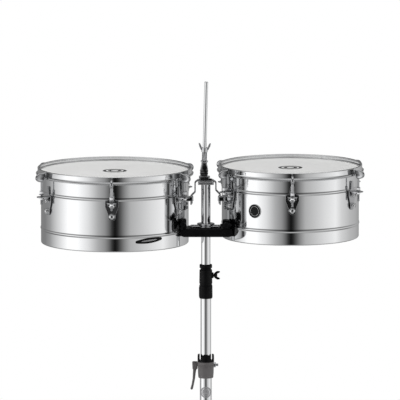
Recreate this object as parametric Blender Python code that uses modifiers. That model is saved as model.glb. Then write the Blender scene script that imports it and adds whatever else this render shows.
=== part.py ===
"""Timbales: two chrome drums, 14 and 13 inch, on a sliding column stand with a folding tripod.

Metres, +Z up, +X to the player's right, -Y to the audience. The floor is z = 0 and the origin is at the
middle of the footprint. Heights marked "above the drum line" are measured from the left shell's lower edge.
"""

import bmesh
import bpy
from math import cos, pi, radians, sin
from mathutils import Matrix, Vector

GAP = 0.0003  # clearance between pieces that touch

# Drums: shell radius, depth, hoop radius, centre relative to the column, height of the lower edge
DRUM_LINE = 0.750
DRUMS = {
    "left": {
        "centre": (-0.2192, 0.056), "bottom": DRUM_LINE, "radius": 0.1778, "depth": 0.1722,
        "hoop_radius": 0.1858, "hoop_foot": 0.1655, "hoop_height": 0.0175, "shelf": 0.1230,
        "beads": (0.0366, 0.1273), "lug_turn": -91.9,
    },
    "right": {
        "centre": (0.2035, 0.063), "bottom": DRUM_LINE + 0.0131, "radius": 0.1651, "depth": 0.1659,
        "hoop_radius": 0.1730, "hoop_foot": 0.1592, "hoop_height": 0.0175, "shelf": 0.1215,
        "beads": (0.0350, 0.1242), "lug_turn": -88.8,
    },
}
DRUM_SIDES = 40
ROUND_CUT_SIDES = 96
SHELL_WALL = 0.0016
BEAD_RISE = 0.0018
BEAD_HALF = 0.0045
FOOT_RIM = 0.006
HEAD_FILM = 0.0007
HOOP_WALL = 0.0023
HOOP_LIP = 0.004
LUGS = 6
LUG_STEP = 2 * pi / LUGS
ROD_OUT = 0.0195  # tension rod's axis outside the shell

# Tension hook, measured from the rod's axis and the hoop's foot
ROD_RADIUS = 0.00275
ROD_BELOW = 0.062
ROD_ABOVE = 0.006
CLAW_WIDTH = 0.0084
CLAW_TIP_WIDTH = 0.0026
CLAW_TIP = 0.0155
CLAW_REACH = 0.0160
HEX_RADIUS = 0.0048
HEX_SPAN = (-0.0370, -0.0285)

# Stand column, heights above the drum line
TUBE_WALL = 0.0012
UPPER_TUBE = {"radius": 0.0111, "bottom": -0.273, "top": 0.1480}
MIDDLE_TUBE = {"radius": 0.0127, "bottom": -0.583, "top": -0.0860}
LOWER_TUBE = {"radius": 0.0143, "bottom": 0.008 - DRUM_LINE, "top": -0.2800}
CRADLE = {"left": -0.0624, "right": 0.0653, "front": -0.031, "back": 0.029, "bottom": 0.0238, "top": 0.0444}
FLANGE = {"radius": 0.0210, "waist": 0.0170, "bottom": 0.0447, "top": 0.0536}
FLANGE_PLATE = {"left": -0.0375, "right": 0.0365, "half_depth": 0.0160, "thick": 0.0034}
KNOB_SPOTS = {"left": (-0.0551, 0.0572), "right": (0.0484, 0.0552)}
PLATE_BOTTOM, PLATE_TOP = 0.1483, 0.1610
STRAP_FRONT, STRAP_BACK = -0.0088, 0.0092
STRAP_LOW, STRAP_HIGH = 0.086, 0.1215
STRAP_THICK = 0.0032
LOOP_LOW, LOOP_HIGH = 0.108, 0.119
ARM_DEPTH = 0.014
ARM_THICK = 0.004
HOOK_LEFT, HOOK_RIGHT = -0.0355, 0.0344
COLLAR = {"top": -0.0460, "bottom": -0.1287, "screw": -0.0728}
COLLAR_SCREW_X = 0.0188
CLAMP = {"top": -0.2650, "crown": -0.2830, "bottom": -0.3220, "bolt": -0.2945}
CLAMP_BOLT_Y = 0.0235
LEVER_PIVOT_X = -0.0248

# Accessory rod
ROD_CLAMP_X = -0.0045
ROD_LEAN = radians(1.4)
ROD_CLAMP_BASE = (0.1613, 0.1680)
ROD_CLAMP_TOP = 0.2018
COLLET_TOP = 0.2255
BELL_ROD = {"radius": 0.0045, "bottom": 0.1720, "top": 0.3962}
WING_NUT_FOOT = 0.2262

# Tripod: each brace is half as long as its leg, so a foot slides level as the collar rises
LEG_LENGTH = 0.380
BRACE_LENGTH = LEG_LENGTH / 2
SPREAD_OPEN = radians(57)
SPREAD_SHUT = radians(5)
PIVOT_RADIUS = 0.029
FOOT_RADIUS = 0.016
LEG_TURNS = {"left": 180.0, "back": 60.0, "front": 300.0}
STRIP_HALF = 0.007
STRIP_THICK = 0.0025
STRIP_INSIDE = 0.0045
SLIDER_SCREW_X = 0.0205
HUB_PIVOT = FOOT_RADIUS
SLIDER_PIVOT = HUB_PIVOT + LEG_LENGTH * cos(SPREAD_OPEN)


def claw_reach(drum, direction):
    """How far the drum's claws reach from the column along +X or -X."""
    rod = drum["radius"] + ROD_OUT + CLAW_REACH
    turns = [radians(drum["lug_turn"]) + k * LUG_STEP for k in range(LUGS)]
    widest = max(direction * rod * cos(a) + CLAW_WIDTH / 2 * abs(sin(a)) for a in turns)
    return direction * drum["centre"][0] + widest


# The column stands a little to one side, because the drums differ
COLUMN_X = (claw_reach(DRUMS["left"], -1) - claw_reach(DRUMS["right"], 1)) / 2


# Scene and helpers

for old in list(bpy.data.objects):
    bpy.data.objects.remove(old, do_unlink=True)

PARTS = bpy.data.collections.new("timbales")
CUTTERS = bpy.data.collections.new("cutters")
bpy.context.scene.collection.children.link(PARTS)
bpy.context.scene.collection.children.link(CUTTERS)


def material(name, color, metallic, roughness):
    made = bpy.data.materials.new(name)
    made.use_nodes = True
    shader = made.node_tree.nodes["Principled BSDF"]
    shader.inputs["Base Color"].default_value = (*color, 1)
    shader.inputs["Metallic"].default_value = metallic
    shader.inputs["Roughness"].default_value = roughness
    return made


CHROME = material("chrome", (0.80, 0.81, 0.82), 1.0, 0.12)
STEEL = material("zinc_steel", (0.62, 0.63, 0.64), 1.0, 0.25)
FILM = material("head_film", (0.88, 0.88, 0.86), 0.0, 0.40)
BLACK = material("black_cast", (0.012, 0.012, 0.013), 0.0, 0.45)
GREY = material("grey_cast", (0.075, 0.075, 0.078), 0.0, 0.50)
RUBBER = material("rubber", (0.02, 0.02, 0.02), 0.0, 0.80)


def empty(name, location=(0, 0, 0), turn=(0, 0, 0), parent=None):
    made = bpy.data.objects.new(name, None)
    made.location = location
    made.rotation_euler = turn
    made.parent = parent
    PARTS.objects.link(made)
    return made


COLUMN = empty("column_axis", (COLUMN_X, 0, 0))
DRUM_LEVEL = empty("drum_line", (0, 0, DRUM_LINE), parent=COLUMN)


def place(name, mesh, look, location=(0, 0, 0), turn=(0, 0, 0), parent=None):
    """A finished sub-part."""
    made = bpy.data.objects.new(name, mesh)
    made.location = location
    made.rotation_euler = turn
    made.parent = parent or DRUM_LEVEL
    if not mesh.materials:
        mesh.materials.append(look)
    mesh.shade_smooth()
    mesh.set_sharp_from_angle(angle=radians(35))
    PARTS.objects.link(made)
    return made


def block(low, high):
    """A box between two corners."""
    bm = bmesh.new()
    bmesh.ops.create_cube(bm, size=1)
    size = [b - a for a, b in zip(low, high)]
    middle = [(a + b) / 2 for a, b in zip(low, high)]
    bmesh.ops.scale(bm, vec=size, verts=bm.verts)
    bmesh.ops.translate(bm, vec=middle, verts=bm.verts)
    mesh = bpy.data.meshes.new("block")
    bm.to_mesh(mesh)
    bm.free()
    return mesh


def rod(start, end, radius, sides=12, end_radius=None):
    """A round bar, or a cone, between two points."""
    start, end = Vector(start), Vector(end)
    along = end - start
    bm = bmesh.new()
    far = radius if end_radius is None else end_radius
    bmesh.ops.create_cone(
        bm, cap_ends=True, segments=sides, radius1=radius, radius2=far, depth=along.length,
    )
    spin = along.to_track_quat("Z", "Y").to_matrix().to_4x4()
    bmesh.ops.transform(bm, matrix=Matrix.Translation((start + end) / 2) @ spin, verts=bm.verts)
    mesh = bpy.data.meshes.new("rod")
    bm.to_mesh(mesh)
    bm.free()
    return mesh


def turned(profile, sides, closed=True):
    """A profile of (radius, height) points turned about Z: down the outer side, then up the inner side."""
    mesh = bpy.data.meshes.new("profile")
    edges = [(i, i + 1) for i in range(len(profile) - 1)]
    if closed:
        edges.append((len(profile) - 1, 0))
    mesh.from_pydata([(r, 0, z) for r, z in profile], edges, [])
    made = bpy.data.objects.new("profile", mesh)
    CUTTERS.objects.link(made)
    screw = made.modifiers.new("turn", "SCREW")
    screw.steps = sides
    screw.render_steps = sides
    screw.use_merge_vertices = True
    screw.merge_threshold = 0.00001
    return frozen(made)


def slab(outline, thickness, holes=()):
    """A flat outline in X and Y with its thickness about z = 0."""
    curve = bpy.data.curves.new("outline", "CURVE")
    curve.dimensions = "2D"
    curve.fill_mode = "BOTH"
    curve.extrude = thickness / 2
    for loop in (outline, *holes):
        spline = curve.splines.new("POLY")
        spline.points.add(len(loop) - 1)
        for point, (x, y) in zip(spline.points, loop):
            point.co = (x, y, 0, 1)
        spline.use_cyclic_u = True
    made = bpy.data.objects.new("outline", curve)
    CUTTERS.objects.link(made)
    return frozen(made)


def frozen(made):
    """The mesh that an object and its modifiers give; the object goes."""
    seen = made.evaluated_get(bpy.context.evaluated_depsgraph_get())
    mesh = bpy.data.meshes.new_from_object(seen)
    bm = bmesh.new()
    bm.from_mesh(mesh)
    bmesh.ops.remove_doubles(bm, verts=bm.verts, dist=0.000005)
    bm.to_mesh(mesh)
    bm.free()
    bpy.data.objects.remove(made, do_unlink=True)
    return mesh


def moved(mesh, matrix):
    mesh.transform(matrix)
    return mesh


def combined(base, steps):
    """Boolean steps, each ("UNION", "DIFFERENCE" or "INTERSECT", mesh), worked through in order."""
    made = bpy.data.objects.new("base", base)
    CUTTERS.objects.link(made)
    tools = []
    for operation, mesh in steps:
        tool = bpy.data.objects.new("cutter", mesh)
        tool.hide_render = True
        tool.display_type = "WIRE"
        CUTTERS.objects.link(tool)
        tools.append(tool)
        modifier = made.modifiers.new(operation, "BOOLEAN")
        modifier.operation = operation
        modifier.solver = "EXACT"
        modifier.object = tool
    mesh = frozen(made)
    for tool in tools:
        bpy.data.objects.remove(tool, do_unlink=True)
    return mesh


def ring_points(radius, count, centre=(0, 0), start=0.0, sweep=2 * pi):
    """Points along an arc; a full turn leaves out its last point."""
    steps = count if sweep >= 2 * pi else count - 1
    turns = [start + sweep * k / steps for k in range(count)]
    return [(centre[0] + radius * cos(a), centre[1] + radius * sin(a)) for a in turns]


UPRIGHT = Matrix.Rotation(pi / 2, 4, "X")  # X, Y outline to X, Z, facing -Y
SIDEWAYS = Matrix.Rotation(pi / 2, 4, "Z") @ UPRIGHT  # X, Y outline to Y, Z, facing +X


def upright(outline, thickness, holes=()):
    """An outline in X and Z, its thickness about y = 0."""
    return moved(slab(outline, thickness, holes), UPRIGHT)


def tube(radius, bottom, top, sides=24):
    inside = radius - TUBE_WALL
    return turned([(radius, top), (radius, bottom), (inside, bottom), (inside, top)], sides)


# Drums


def shell(drum):
    r, top = drum["radius"], drum["depth"]
    profile = [(r - 0.0004, top)]
    for height in sorted(drum["beads"], reverse=True):
        profile += [
            (r, height + BEAD_HALF), (r + BEAD_RISE, height + BEAD_HALF * 0.3),
            (r + BEAD_RISE, height - BEAD_HALF * 0.3), (r, height - BEAD_HALF),
        ]
    inside = r - SHELL_WALL
    profile += [(r, 0.0012), (r - 0.0012, 0), (r - FOOT_RIM, 0), (r - FOOT_RIM, SHELL_WALL)]
    profile += [(inside, SHELL_WALL), (inside, top)]
    return turned(profile, DRUM_SIDES)


def head(drum):
    r, low = drum["radius"], drum["depth"] + GAP
    skirt = low - 0.0100
    profile = [
        (0, low + HEAD_FILM), (r + 0.0012, low + HEAD_FILM), (r + 0.0046, low - 0.0010),
        (r + 0.0050, skirt), (r + 0.0009, skirt), (r + 0.0009, low), (0, low),
    ]
    return turned(profile, DRUM_SIDES, closed=False)


def counterhoop(drum):
    out, foot = drum["hoop_radius"], drum["hoop_foot"]
    top = foot + drum["hoop_height"]
    inner = out - HOOP_WALL
    press = drum["depth"] + HEAD_FILM + 2 * GAP
    flange = drum["radius"] + 0.0014
    lip = out + HOOP_LIP
    over = press + 0.0018
    profile = [
        (out - 0.0014, top), (out, top - 0.0014), (out, foot + 0.0026), (lip, foot + 0.0020),
        (lip, foot), (inner, foot), (inner, press), (flange, press), (flange, over), (inner, over),
        (inner, top - 0.0040), (inner - 0.0014, top - 0.0024), (inner - 0.0008, top),
    ]
    return turned(profile, DRUM_SIDES)


def lug_bracket():
    """Plate against the shell with a tongue above and a shelf that carries the rod. x = 0 is the shell."""
    half, waist, low = 0.0165, 0.0090, -0.037
    plate = [(0.0040, 0.024), (-0.0040, 0.024), (-0.0062, 0.004), (-half, 0.0), (-half, -0.012)]
    plate += ring_points(waist, 7, (0, low), pi, pi)
    plate += [(half, -0.012), (half, 0.0), (0.0062, 0.004)]
    thick = 0.0034
    back = moved(slab(plate, thick), Matrix.Translation((GAP + thick / 2, 0, 0)) @ SIDEWAYS)
    shelf = [
        (0.0015, -0.0115), (0.0240, -0.0115), (0.0300, -0.0070),
        (0.0300, 0.0070), (0.0240, 0.0115), (0.0015, 0.0115),
    ]
    hole = ring_points(ROD_RADIUS + 0.0007, 12, (ROD_OUT, 0))
    top = moved(slab(shelf, 0.003, [hole]), Matrix.Translation((0, 0, -0.0015)))
    bead_groove = block((-0.005, -0.03, -0.0021), (BEAD_RISE + GAP, 0.03, 0.0092))
    return combined(back, [("UNION", top), ("DIFFERENCE", bead_groove)])


def tension_hook():
    """Claw over the hoop's lip, on a threaded rod with a hex. Origin on the rod at the hoop's foot."""
    hoop = -(ROD_OUT - (DRUMS["left"]["hoop_radius"] - DRUMS["left"]["radius"]))
    lip = hoop + HOOP_LIP
    face = hoop + 2 * GAP
    outline = [(face, 0.0030), (face, 0.0080), (face + 0.0012, CLAW_TIP), (-0.0060, 0.0150)]
    outline += ring_points(0.0130, 9, (CLAW_REACH - 0.0130, 0.0035), radians(100), radians(-200))
    outline += [(-0.0030, -0.0092), (lip + 2 * GAP, -0.0030), (lip + 2 * GAP, 0.0030)]
    claw = upright(outline, CLAW_WIDTH)
    for vertex in claw.vertices:
        share = min(max(vertex.co.z / CLAW_TIP, 0), 1)
        vertex.co.y *= 1 + (CLAW_TIP_WIDTH / CLAW_WIDTH - 1) * share
    shaft = rod((0, 0, -ROD_BELOW), (0, 0, ROD_ABOVE), ROD_RADIUS, 10)
    grip = rod((0, 0, HEX_SPAN[0]), (0, 0, HEX_SPAN[1]), HEX_RADIUS, 6)
    return combined(claw, [("UNION", shaft), ("UNION", grip)])


def corners_block(a, b):
    """A box between any two opposite corners."""
    low = [min(p, q) for p, q in zip(a, b)]
    high = [max(p, q) for p, q in zip(a, b)]
    return block(low, high)


def shell_mount(side, drum, hook_x):
    """Strap on the shell with a slot for the stand's hook, in column coordinates."""
    x, y = drum["centre"]
    toward = 1 if side == "left" else -1
    far = hook_x - toward * 0.030
    near = hook_x + toward * 0.0055

    def around(extra):
        return rod((x, y, -0.1), (x, y, 0.3), drum["radius"] + extra, ROUND_CUT_SIDES)

    strap = corners_block((far, STRAP_FRONT, STRAP_LOW), (hook_x, STRAP_BACK, STRAP_HIGH))
    loop = corners_block((far, STRAP_FRONT, LOOP_LOW), (near, STRAP_BACK, LOOP_HIGH))
    slot = block((hook_x - 0.0027, -0.0074, 0.08), (hook_x + 0.0027, 0.0074, 0.14))
    return combined(strap, [
        ("INTERSECT", around(STRAP_THICK)), ("UNION", loop),
        ("DIFFERENCE", around(GAP)), ("DIFFERENCE", slot),
    ])


def build_drums():
    lug_mesh, hook_mesh = lug_bracket(), tension_hook()
    for side, drum in DRUMS.items():
        axis = empty(f"{side}_drum_axis", (*drum["centre"], drum["bottom"] - DRUM_LINE), parent=DRUM_LEVEL)
        place(f"{side}_shell", shell(drum), CHROME, parent=axis)
        place(f"{side}_drumhead", head(drum), FILM, parent=axis)
        place(f"{side}_counterhoop", counterhoop(drum), CHROME, parent=axis)
        for k in range(LUGS):
            angle = radians(drum["lug_turn"]) + k * LUG_STEP
            out = Vector((cos(angle), sin(angle), 0))
            seat = out * drum["radius"] + Vector((0, 0, drum["shelf"]))
            place(f"{side}_lug_bracket_{k + 1}", lug_mesh, CHROME, seat, (0, 0, angle), axis)
            stem = out * (drum["radius"] + ROD_OUT) + Vector((0, 0, drum["hoop_foot"]))
            place(f"{side}_tension_hook_{k + 1}", hook_mesh, CHROME, stem, (0, 0, angle), axis)
    place("left_shell_mount", shell_mount("left", DRUMS["left"], HOOK_LEFT), CHROME)
    place("right_shell_mount", shell_mount("right", DRUMS["right"], HOOK_RIGHT), CHROME)


# Stand top


def strip_outline(path, thickness):
    """Both edges of a bent strip whose middle follows the path, with mitred corners."""
    points = [Vector(p) for p in path]
    left, right = [], []
    for i, point in enumerate(points):
        before = (point - points[i - 1]).normalized() if i else (points[1] - point).normalized()
        after = (points[i + 1] - point).normalized() if i < len(points) - 1 else before
        middle = (before + after).normalized()
        normal = Vector((-middle.y, middle.x))
        reach = thickness / 2 / max(middle.dot(before), 0.3)
        left.append(tuple(point + normal * reach))
        right.append(tuple(point - normal * reach))
    return left + right[::-1]


def top_bracket():
    path = [
        (HOOK_LEFT, 0.099), (HOOK_LEFT, 0.1205), (-0.0258, 0.1300), (-0.0258, 0.1530), (-0.0175, 0.1588),
        (0.0150, 0.1588), (0.0241, 0.1540), (0.0241, 0.1345), (HOOK_RIGHT, 0.1240), (HOOK_RIGHT, 0.099),
    ]
    arms = upright(strip_outline(path, ARM_THICK), ARM_DEPTH)
    plate = block((-0.0188, -0.0150, PLATE_BOTTOM), (0.0193, 0.0150, PLATE_TOP))
    return combined(arms, [("UNION", plate)])


def cradle_bar():
    """Moulded bar between the drums: round-ended, hollowed to both shells, with an ear for each knob."""
    middle = (CRADLE["bottom"] + CRADLE["top"]) / 2
    round_end = (CRADLE["top"] - CRADLE["bottom"]) / 2
    outline = ring_points(round_end, 9, (CRADLE["left"] + round_end, middle), pi / 2, pi)
    outline += ring_points(round_end, 9, (CRADLE["right"] - round_end, middle), -pi / 2, pi)
    depth = CRADLE["back"] - CRADLE["front"]
    bar = moved(upright(outline, depth), Matrix.Translation((0, (CRADLE["back"] + CRADLE["front"]) / 2, 0)))
    steps = []
    for x, z in KNOB_SPOTS.values():
        ear = block((x - 0.008, CRADLE["front"] + 0.001, middle), (x + 0.008, -0.006, z + 0.010))
        steps.append(("UNION", ear))
    for drum in DRUMS.values():
        x, y = drum["centre"]
        around = rod((x, y, -0.1), (x, y, 0.2), drum["radius"] + BEAD_RISE + GAP, ROUND_CUT_SIDES)
        steps.append(("DIFFERENCE", around))
    for x, z in KNOB_SPOTS.values():
        steps.append(("DIFFERENCE", rod((x, -0.06, z), (x, 0.02, z), 0.0034)))
    steps.append(("DIFFERENCE", rod((0, 0, -0.1), (0, 0, 0.2), UPPER_TUBE["radius"] + GAP, 24)))
    return combined(bar, steps)


def cradle_collar():
    """Grooved collar round the upper tube on a plate that lies on the bar."""
    wide, waist = FLANGE["radius"], FLANGE["waist"]
    low, top = FLANGE["bottom"], FLANGE["top"]
    bore = UPPER_TUBE["radius"] + GAP
    collar = turned([
        (wide, top), (wide, top - 0.003), (waist, top - 0.0035), (waist, low + 0.0030),
        (wide, low + 0.0025), (wide, low), (bore, low), (bore, top),
    ], 24)
    half, seat = FLANGE_PLATE["half_depth"], low + FLANGE_PLATE["thick"]
    plate = block((FLANGE_PLATE["left"], -half, low), (FLANGE_PLATE["right"], half, seat))
    hole = rod((0, 0, low - 0.01), (0, 0, top + 0.01), (bore + waist) / 2, 24)
    return combined(collar, [("UNION", combined(plate, [("DIFFERENCE", hole)]))])


def wing_screw(shaft, hub, wing):
    """Thumb screw along +Z with its hub from z = 0 upwards: shaft (radius, length), hub (radius, length),
    wings (reach, height, thickness).
    """
    reach, height, thickness = wing
    foot = hub[0] * 0.7
    top = hub[0] * 0.9
    outline = [
        (-foot, 0.0015), (foot, 0.0015), (reach * 0.8, height * 0.35), (reach, height * 0.75),
        (reach * 0.78, height), (top, hub[1] * 0.8), (-top, hub[1] * 0.8), (-reach * 0.78, height),
        (-reach, height * 0.75), (-reach * 0.8, height * 0.35),
    ]
    body = rod((0, 0, 0), (0, 0, hub[1]), hub[0], 16, hub[0] * 0.85)
    thread = rod((0, 0, -shaft[1]), (0, 0, hub[1] * 0.5), shaft[0], 10)
    return combined(body, [("UNION", upright(outline, thickness)), ("UNION", thread)])


def rod_clamp():
    """Base on the bracket, upright body and collet neck, bored for the accessory rod."""
    lean = Matrix.Translation((ROD_CLAMP_X, 0, ROD_CLAMP_BASE[1])) @ Matrix.Rotation(ROD_LEAN, 4, "Y")
    base = block((-0.0166, -0.0100, ROD_CLAMP_BASE[0]), (0.0100, 0.0100, ROD_CLAMP_BASE[1]))
    rise = ROD_CLAMP_TOP - ROD_CLAMP_BASE[1]
    neck = COLLET_TOP - ROD_CLAMP_BASE[1]
    bore = BELL_ROD["radius"] + 2 * GAP
    body = moved(block((-0.0095, -0.0090, -0.002), (0.0095, 0.0090, rise)), lean)
    collar = moved(rod((0, 0, rise - 0.002), (0, 0, neck), 0.0066, 16), lean)
    floor = BELL_ROD["bottom"] - ROD_CLAMP_BASE[1] - GAP
    hollow = moved(rod((0, 0, floor), (0, 0, 0.1), bore, 16), lean)
    screw = moved(rod((0.004, 0, rise * 0.45), (0.02, 0, rise * 0.45), 0.0026), lean)
    return combined(base, [
        ("UNION", body), ("UNION", collar), ("DIFFERENCE", hollow), ("DIFFERENCE", screw),
    ])


def wing_nut():
    """Nut with two raised wings round the accessory rod, from z = 0 upwards."""
    bore = BELL_ROD["radius"] + 2 * GAP
    body = rod((0, 0, 0), (0, 0, 0.011), 0.0078, 16, 0.0068)
    right = [
        (0.006, 0.002), (0.0110, 0.0100), (0.0150, 0.0200),
        (0.0125, 0.0225), (0.0085, 0.0170), (0.0060, 0.0095),
    ]
    wings = upright(right + [(-x, z) for x, z in reversed(right)], 0.0040)
    return combined(body, [("UNION", wings), ("DIFFERENCE", rod((0, 0, -0.01), (0, 0, 0.03), bore, 16))])


def build_stand_top():
    place("upper_tube", tube(**UPPER_TUBE), CHROME)
    place("top_bracket", top_bracket(), CHROME)
    place("cradle_bar", cradle_bar(), BLACK)
    place("cradle_collar", cradle_collar(), CHROME)
    knob = wing_screw((0.0030, 0.0118), (0.0065, 0.0150), (0.0145, 0.0130, 0.0060))
    facing = {"left": pi * 0.42, "right": 0.0}
    for side, (x, z) in KNOB_SPOTS.items():
        axis = empty(f"{side}_knob_axis", (x, CRADLE["front"] - 0.001, z), (pi / 2, 0, 0), DRUM_LEVEL)
        place(f"{side}_cradle_knob", knob, BLACK, turn=(0, 0, facing[side]), parent=axis)
    place("rod_clamp", rod_clamp(), BLACK)
    lean = Vector((sin(ROD_LEAN), 0, cos(ROD_LEAN)))
    base = Vector((ROD_CLAMP_X, 0, ROD_CLAMP_BASE[1]))
    rod_axis = empty("accessory_rod_axis", base, (0, ROD_LEAN, 0), DRUM_LEVEL)
    long = (BELL_ROD["top"] - BELL_ROD["bottom"]) / lean.z
    start = BELL_ROD["bottom"] - ROD_CLAMP_BASE[1]
    bell_rod = rod((0, 0, start), (0, 0, start + long), BELL_ROD["radius"], 16)
    place("accessory_rod", bell_rod, CHROME, parent=rod_axis)
    place("rod_wing_nut", wing_nut(), STEEL, (0, 0, WING_NUT_FOOT - ROD_CLAMP_BASE[1]), parent=rod_axis)


# Column


def height_collar():
    top, low, step = COLLAR["top"], COLLAR["bottom"], MIDDLE_TUBE["top"] + GAP
    small, large = UPPER_TUBE["radius"] + GAP, MIDDLE_TUBE["radius"] + GAP
    profile = [
        (0.0146, top), (0.0150, top - 0.0015), (0.0150, top - 0.0085), (0.0128, top - 0.0095),
        (0.0128, top - 0.0120), (0.0156, top - 0.0135), (0.0156, -0.0915), (0.0149, -0.0935),
        (0.0149, -0.0960), (0.0162, -0.0985), (0.0162, low + 0.002), (0.0152, low),
        (large, low), (large, step), (small, step), (small, top),
    ]
    boss = rod((0.010, 0, COLLAR["screw"]), (0.0185, 0, COLLAR["screw"]), 0.0075, 16)
    bore = rod((0, 0, -0.2), (0, 0, 0), small + 0.0004, 24)
    return combined(turned(profile, 24), [
        ("UNION", combined(boss, [("DIFFERENCE", bore)])),
        ("DIFFERENCE", rod((0.005, 0, COLLAR["screw"]), (0.03, 0, COLLAR["screw"]), 0.0034)),
    ])


def lower_clamp():
    top, crown, low = CLAMP["top"], CLAMP["crown"], CLAMP["bottom"]
    large, small = LOWER_TUBE["radius"] + GAP, MIDDLE_TUBE["radius"] + GAP
    step = LOWER_TUBE["top"] + GAP
    bolt = CLAMP["bolt"]
    profile = [
        (0.0197, top), (0.0200, top - 0.001), (0.0200, crown), (0.0193, crown - 0.002),
        (0.0189, low + 0.012), (0.0180, low + 0.001), (0.0176, low),
        (large, low), (large, step), (small, step), (small, top),
    ]
    ears = block((-0.0155, 0.012, bolt - 0.013), (0.0155, CLAMP_BOLT_Y + 0.0075, bolt + 0.0115))
    hollow = rod((0, 0, low - 0.01), (0, 0, step), large, 24)
    steps = [
        ("UNION", combined(ears, [("DIFFERENCE", hollow)])),
        ("DIFFERENCE", block((-0.0012, 0.010, low - 0.01), (0.0012, 0.05, top + 0.01))),
        ("DIFFERENCE", rod((-0.04, CLAMP_BOLT_Y, bolt), (0.04, CLAMP_BOLT_Y, bolt), 0.0036)),
    ]
    for turn in (45, 135):
        slot = block((-0.05, -0.0045, crown + 0.003), (0.05, 0.0045, top + 0.01))
        steps.append(("DIFFERENCE", moved(slot, Matrix.Rotation(radians(turn), 4, "Z"))))
    return combined(turned(profile, 24), steps)


def cam_bolt():
    """Bolt through the clamp's ears, an eye for the lever on one end and a nut on the other."""
    y, z = CLAMP_BOLT_Y, CLAMP["bolt"]
    shank = rod((LEVER_PIVOT_X, y, z), (0.0300, y, z), 0.0032, 12)
    nut = rod((0.0182, y, z), (0.0240, y, z), 0.0062, 6)
    eye = rod((LEVER_PIVOT_X, y - 0.0030, z), (LEVER_PIVOT_X, y + 0.0030, z), 0.0050, 16)
    pin_hole = rod((LEVER_PIVOT_X, y - 0.01, z), (LEVER_PIVOT_X, y + 0.01, z), 0.0024)
    return combined(shank, [("UNION", nut), ("UNION", eye), ("DIFFERENCE", pin_hole)])


def clamp_lever():
    """Forked cam with a pin and a flat arm that hangs beside the tube. Origin on the pin."""
    head = [(-0.0062, -0.0100), (0.0046, -0.0100), (0.0052, 0.0062), (0.0036, 0.0078), (-0.0052, 0.0078)]
    cam = upright(head + [(-0.0068, 0.0062)], 0.0140)
    arm = upright([
        (-0.0056, -0.0090), (-0.0064, -0.0200), (-0.0070, -0.0340), (-0.0094, -0.0480), (-0.0124, -0.0580),
        (-0.0106, -0.0602), (-0.0068, -0.0590), (-0.0040, -0.0480), (-0.0012, -0.0340), (0.0004, -0.0200),
        (0.0024, -0.0090),
    ], 0.0095)
    slot = block((-0.0056, -0.0034, -0.0062), (0.02, 0.0034, 0.02))
    pin = rod((0, -0.0068, 0), (0, 0.0068, 0), 0.0020, 12)
    return combined(cam, [("UNION", arm), ("DIFFERENCE", slot), ("UNION", pin)])


def build_column():
    place("middle_tube", tube(**MIDDLE_TUBE), CHROME)
    place("height_collar", height_collar(), BLACK)
    screw_axis = empty("collar_screw_axis", (COLLAR_SCREW_X, 0, COLLAR["screw"]), (0, pi / 2, 0), DRUM_LEVEL)
    reach = COLLAR_SCREW_X - UPPER_TUBE["radius"] - GAP
    screw = wing_screw((0.0028, reach), (0.0045, 0.0090), (0.0105, 0.0150, 0.0042))
    place("height_collar_wing_screw", screw, BLACK, parent=screw_axis)
    place("lower_tube", tube(**LOWER_TUBE), CHROME)
    place("lower_clamp", lower_clamp(), GREY)
    place("clamp_cam_bolt", cam_bolt(), STEEL)
    place("clamp_lever", clamp_lever(), GREY, (LEVER_PIVOT_X, CLAMP_BOLT_Y, CLAMP["bolt"]))


# Tripod, heights from the floor


def spoke(mesh, turn):
    return moved(mesh, Matrix.Rotation(radians(turn), 4, "Z"))


def tripod_slider():
    """Collar that carries the legs, with one ear between each leg's strips. z = 0 is the pivots' height."""
    bore, low, high = LOWER_TUBE["radius"] + GAP, -0.012, 0.012
    ring = turned([(0.0195, high), (0.0195, low), (bore, low), (bore, high)], 24)
    outline = [(0.0165, -0.0060), *ring_points(0.0060, 9, (PIVOT_RADIUS, 0), -pi / 2, pi), (0.0165, 0.0060)]
    hole = ring_points(0.0030, 12, (PIVOT_RADIUS, 0))
    steps = []
    for turn in LEG_TURNS.values():
        ear = upright(outline, 2 * (STRIP_INSIDE - 2 * GAP), [hole])
        steps.append(("UNION", spoke(ear, turn)))
    steps.append(("DIFFERENCE", rod((0.005, 0, 0), (0.03, 0, 0), 0.0034)))
    return combined(ring, steps)


def tripod_hub():
    """Collar at the tube's foot with a clevis and pin for each brace. z = 0 is the pivots' height."""
    bore, low, high = LOWER_TUBE["radius"] + GAP, -0.0095, 0.0095
    ring = turned([(0.0190, high), (0.0190, low), (bore, low), (bore, high)], 24)
    cheek = 0.0029
    outline = [(0.0160, -0.0058), *ring_points(0.0058, 9, (PIVOT_RADIUS, 0), -pi / 2, pi), (0.0160, 0.0058)]
    steps = []
    for turn in LEG_TURNS.values():
        for side in (-1, 1):
            ear = moved(upright(outline, 0.0025), Matrix.Translation((0, side * (cheek + 0.00125), 0)))
            steps.append(("UNION", spoke(ear, turn)))
        pin = rod((PIVOT_RADIUS, -cheek - 0.0012, 0), (PIVOT_RADIUS, cheek + 0.0012, 0), 0.0024)
        steps.append(("UNION", spoke(pin, turn)))
    return combined(ring, steps)


def leg():
    """Two strips down -Z, joined by the pivot pin at the top and a plug for the foot. Origin on the pivot."""
    end = -(LEG_LENGTH - 0.030)
    outline = ring_points(STRIP_HALF, 9, (0, 0), 0, pi) + [(-STRIP_HALF, end), (STRIP_HALF, end)]
    middle = STRIP_INSIDE + STRIP_THICK / 2
    strip = moved(upright(outline, STRIP_THICK), Matrix.Translation((0, -middle, 0)))
    other = moved(upright(outline, STRIP_THICK), Matrix.Translation((0, middle, 0)))
    plug = rod((0, 0, end - 0.024), (0, 0, end + 0.010), 0.0068, 16)
    pin = rod((0, -0.0078, 0), (0, 0.0078, 0), 0.0025, 12)
    return combined(strip, [("UNION", plug), ("UNION", other), ("UNION", pin)])


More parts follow.
